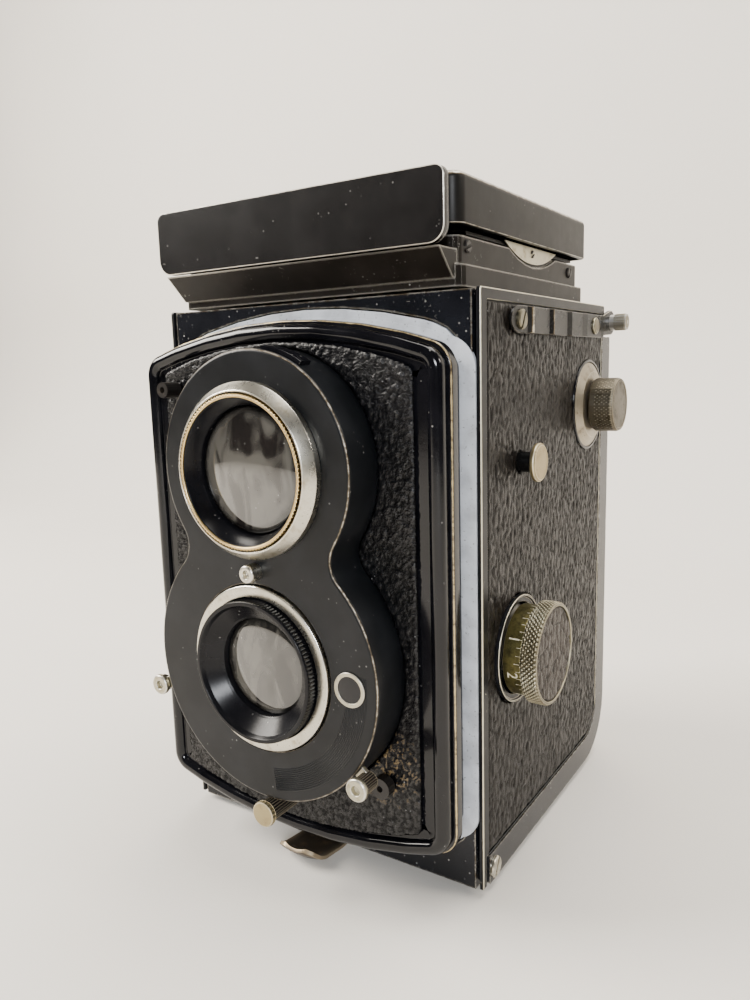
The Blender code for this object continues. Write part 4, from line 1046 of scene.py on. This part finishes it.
def numerals():
    """Distances as plain numbers round the scale drum."""
    for n, label in enumerate(("1", "2", "3", "5", "10", "20")):
        angle = 150 + 46 * n
        curve = bpy.data.curves.new("distance_" + label, "FONT")
        curve.body, curve.size, curve.extrude = label, 3.3 * MM, 0.03 * MM
        curve.align_x = curve.align_y = "CENTER"
        curve.materials.append(PALE_MARK)
        text = new_object("distance_" + label, curve)
        at = Vector((44.4, *spot(KNOB, DRUM_RADIUS + 0.04, angle))) * MM
        lean = Matrix.Rotation(math.radians(angle - 90), 4, "X")
        text.matrix_world = Matrix.Translation(at) @ lean @ Matrix.Rotation(-math.pi / 2, 4, "Z")
        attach(text, "focus_knob")


def scale_ticks():
    """Short ticks round the scale drum, every third one longer, as one piece."""
    half, proud = 0.28, DRUM_RADIUS + 0.06
    points, faces = [], []
    for n in range(36):
        places = ((DRUM_RADIUS, -half), (proud, -half), (proud, half), (DRUM_RADIUS, half))
        corners = np.array([spot(KNOB, radius, 10 * n + turn) for radius, turn in places])
        tick, sides = skin_loops([lift(corners, "X", level) for level in (45.3 if n % 3 else 44.9, 46.2)])
        faces += [tuple(i + 8 * n for i in face) for face in sides]
        points.append(tick)
    piece("scale_ticks", np.concatenate(points), faces, PALE_MARK, "focus_knob", slot="scale_brass")


def spool_knob():
    dome = [(CORE, 41.0, 0), (10.8, 41.0, 0.1), (10.8, 41.9, 0.3), (9.6, 42.5, 0.6), (8.4, 43.2, 0.4),
            (5.6, 43.3, 0.3), (5.2, 43.0, 0.2), (CORE, 43.0, 0)]
    side_part("spool_flange", SPOOL, dome, FLANGE_NICKEL, base=0, steps=128)
    seat = [(10.9, 41.2, 0), (11.6, 41.2, 0.1), (11.6, 42.0, 0.25), (10.9, 42.1, 0.1)]
    side_part("spool_flange_seat", SPOOL, seat, ENAMEL, base=0, ring=True)
    head = [(CORE, 43.2, 0), (3.4, 43.2, 0.1), (3.4, 44.6, 0.2), (6.2, 44.8, 0.4), (6.8, 45.4, 0.1)]
    head += [(6.8, 45.4 + 4.1 * k / 24, 0) for k in range(1, 24)]
    head += [(6.8, 49.5, 0.1), (6.5, 50.1, 0.2), (5.9, 50.2, 0.15), (5.7, 49.7, 0.1), (CORE, 49.8, 0)]
    side_part("spool_knob_head", SPOOL, head, HEAD_NICKEL, "spool_knob", base=0, steps=480,
              relief=diamond_knurl(48, 0.2, 1.2), over=6.75)


# ---- hood

def hood_lid():
    low, high = extent("hood_lid")
    outline = rectangle(low[:2], high[:2], (3.0,) * 4, 12)
    base, top = low[2], high[2]
    profile = [(1.4, top - 1.2, 0), (1.2, base, 0.15), (0, base, 0.3), (0, top, 1.5), (2.6, top, 0)]
    swept("lid_shell", outline, profile, "Z", HOOD_ENAMEL, "hood_lid", steps=8, node="hood_lid")


def name_plate():
    """The plain front wall below the lid, with a raised lip."""
    half, low, high, back = 37.5, 134.1, 148.0, -45.9
    outline = rectangle((-half, low), (half, high), (3.5, 3.5, 2.0, 2.0), 8)
    plate("name_plate_face", outline, [], "Y", back, -47.3, 0.3, PLATE_ENAMEL, node="name_plate")
    lip = [(0.0, back, 0.1), (0.0, back + 0.6, 0.2), (0.9, back + 0.6, 0.2), (0.9, back, 0.1)]
    swept("name_plate_lip", outline, lip, "Y", PLATE_ENAMEL, ring=True)


# ---- carried-over nodes

SOFTENED = {
    "body_casting": 0.25, "back_door": 0.3, "hood_base": 0.3, "crank_arm": 0.3, "crank_handle": 0.3,
    "tunnel_rim": 0.15, "tripod_socket": 0.15, "hood_leaf_focus_side": 0.15, "hood_leaf_crank_side": 0.15,
    "hood_rear_leaf": 0.15, "spool_knob": 0.1,
}
LOOKS = {
    BODY_ENAMEL: ("body_casting", "back_door"),
    BASE_ENAMEL: ("hood_base",),
    HOOD_ENAMEL: ("hood_leaf_focus_side", "hood_leaf_crank_side", "hood_rear_leaf"),
    ALUMINIUM: ("tunnel_rim",),
    PLAIN_ALUMINIUM: ("lower_film_roller", "upper_film_roller"),
    DARK_PAINT: ("film_gate", "take_up_spool", "feed_spool", "shutter_case"),
    STEEL: ("focus_cam", "crank_gear", "take_up_gear", "magnifier_arm", "pressure_plate", "pressure_spring",
            "hinge_pin"),
    WORN_STEEL: ("cable_release_socket", "flash_socket"),
    KNOB_NICKEL: ("crank_arm",),
    NICKEL: ("tripod_socket",),
    HEAD_NICKEL: ("spool_knob",),
    ENAMEL: ("crank_handle",),
    SILVER: ("reflex_mirror",),
    CLEAR: ("taking_rear_glass", "magnifier_lens"),
    GROUND: ("ground_glass",),
}


def soften(obj):
    """Small rounded edges on a node whose shape is already right."""
    weld = obj.modifiers.new("weld", "WELD")
    weld.merge_threshold = 1e-6
    bevel = obj.modifiers.new("edges", "BEVEL")
    bevel.width, bevel.segments, bevel.limit_method = SOFTENED[obj.name] * MM, 3, "ANGLE"
    bevel.angle_limit = math.radians(32)
    bevel.harden_normals = True


def carried_over():
    for look, names in LOOKS.items():
        for name in names:
            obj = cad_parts[name]
            obj.data.materials.clear()
            obj.data.materials.append(look)
            if name in SOFTENED:
                soften(obj)


# ---- stage, light and camera

def stage():
    """A pale floor that bends up into a wall."""
    paper = Finish("pale_paper")
    paper.set(colour=paper.mix(paper.noise(160, 3), (0.74, 0.7, 0.64), (0.8, 0.76, 0.7)), roughness=0.85)
    paper.bump((paper.noise(0.6, 4), 0.03))
    reach, wall, top, bend = 900, 420, 900, 180
    line = [(-reach, FLOOR), (wall - bend, FLOOR)]
    line += arc((wall - bend, FLOOR + bend), bend, -90, 0, 16) + [(wall, top)]
    points = [(x, y, z) for y, z in line for x in (-reach, reach)]
    faces = [(2 * i, 2 * i + 1, 2 * i + 3, 2 * i + 2) for i in range(len(line) - 1)]
    mesh = new_mesh("backdrop", points, faces)
    mesh.shade_smooth()
    mesh.materials.append(paper.material)
    new_object("backdrop", mesh)


def lights():
    """Soft lamps, and a room that is pale behind the camera body but lights it only faintly."""
    for name, place, width, height, watts, colour in (
        ("window", (-0.75, -0.35, 0.62), 0.5, 0.5, 22, (1.0, 0.95, 0.87)),
        ("ceiling", (0.1, 0.15, 0.95), 0.6, 0.6, 11, (1.0, 0.96, 0.9)),
        ("side_lamp", (0.62, 0.12, 0.45), 0.12, 0.12, 1.4, (1.0, 0.93, 0.83)),
        ("front_strip", (0.5, -0.8, 0.4), 0.3, 0.2, 9.0, (0.93, 0.96, 1.0)),
    ):
        light = bpy.data.lights.new(name, "AREA")
        light.shape, light.size, light.size_y = "RECTANGLE", width, height
        light.energy, light.color = watts, colour
        obj = new_object(name, light)
        obj.location = place
        obj.rotation_euler = (Vector((0, -0.02, 0.07)) - Vector(place)).to_track_quat("-Z", "Y").to_euler()
    world = bpy.data.worlds.new("room")
    world.use_nodes = True
    tree = world.node_tree
    background = tree.nodes["Background"]
    background.inputs["Color"].default_value = (0.84, 0.82, 0.78, 1)
    seen = tree.nodes.new("ShaderNodeLightPath").outputs["Is Camera Ray"]
    strength = tree.nodes.new("ShaderNodeMapRange")
    strength.inputs["To Min"].default_value, strength.inputs["To Max"].default_value = 0.07, 1.25
    tree.links.new(seen, strength.inputs["Value"])
    tree.links.new(strength.outputs[0], background.inputs["Strength"])
    bpy.context.scene.world = world


def camera():
    """The photograph's viewing angle: turned by yaw, tipped by pitch and leaning by roll, in radians."""
    yaw, pitch, roll = 0.578, -0.164, -0.028
    lens = bpy.data.cameras.new("camera")
    lens.lens, lens.sensor_width, lens.clip_start = 28.62, 36, 0.01
    obj = new_object("camera", lens)
    turns = ((yaw, "Z"), (math.pi / 2 + pitch, "X"), (roll, "Z"))
    obj.matrix_world = Matrix.Translation((0.1085, -0.1819, 0.1115))
    for angle, axis in turns:
        obj.matrix_world @= Matrix.Rotation(angle, 4, axis)
    bpy.context.scene.camera = obj


front_plate()
shutter_cover()
viewing_lens()
taking_lens()
controls()
side(1, "focus_side", ((KNOB, 12.2), (SPOOL, 11.3), (STUD, 2.5)))
side(-1, "crank_side", ((CRANK, 8.6), (STUD, 2.5)))
back_panel()
stud(1, "focus_side")
stud(-1, "crank_side")
spring_strap()
latch_tab()
hinge_end()
crank_details()
hood_foot_screws()
focus_knob()
numerals()
scale_ticks()
spool_knob()
hood_lid()
name_plate()
carried_over()
stage()
lights()
camera()
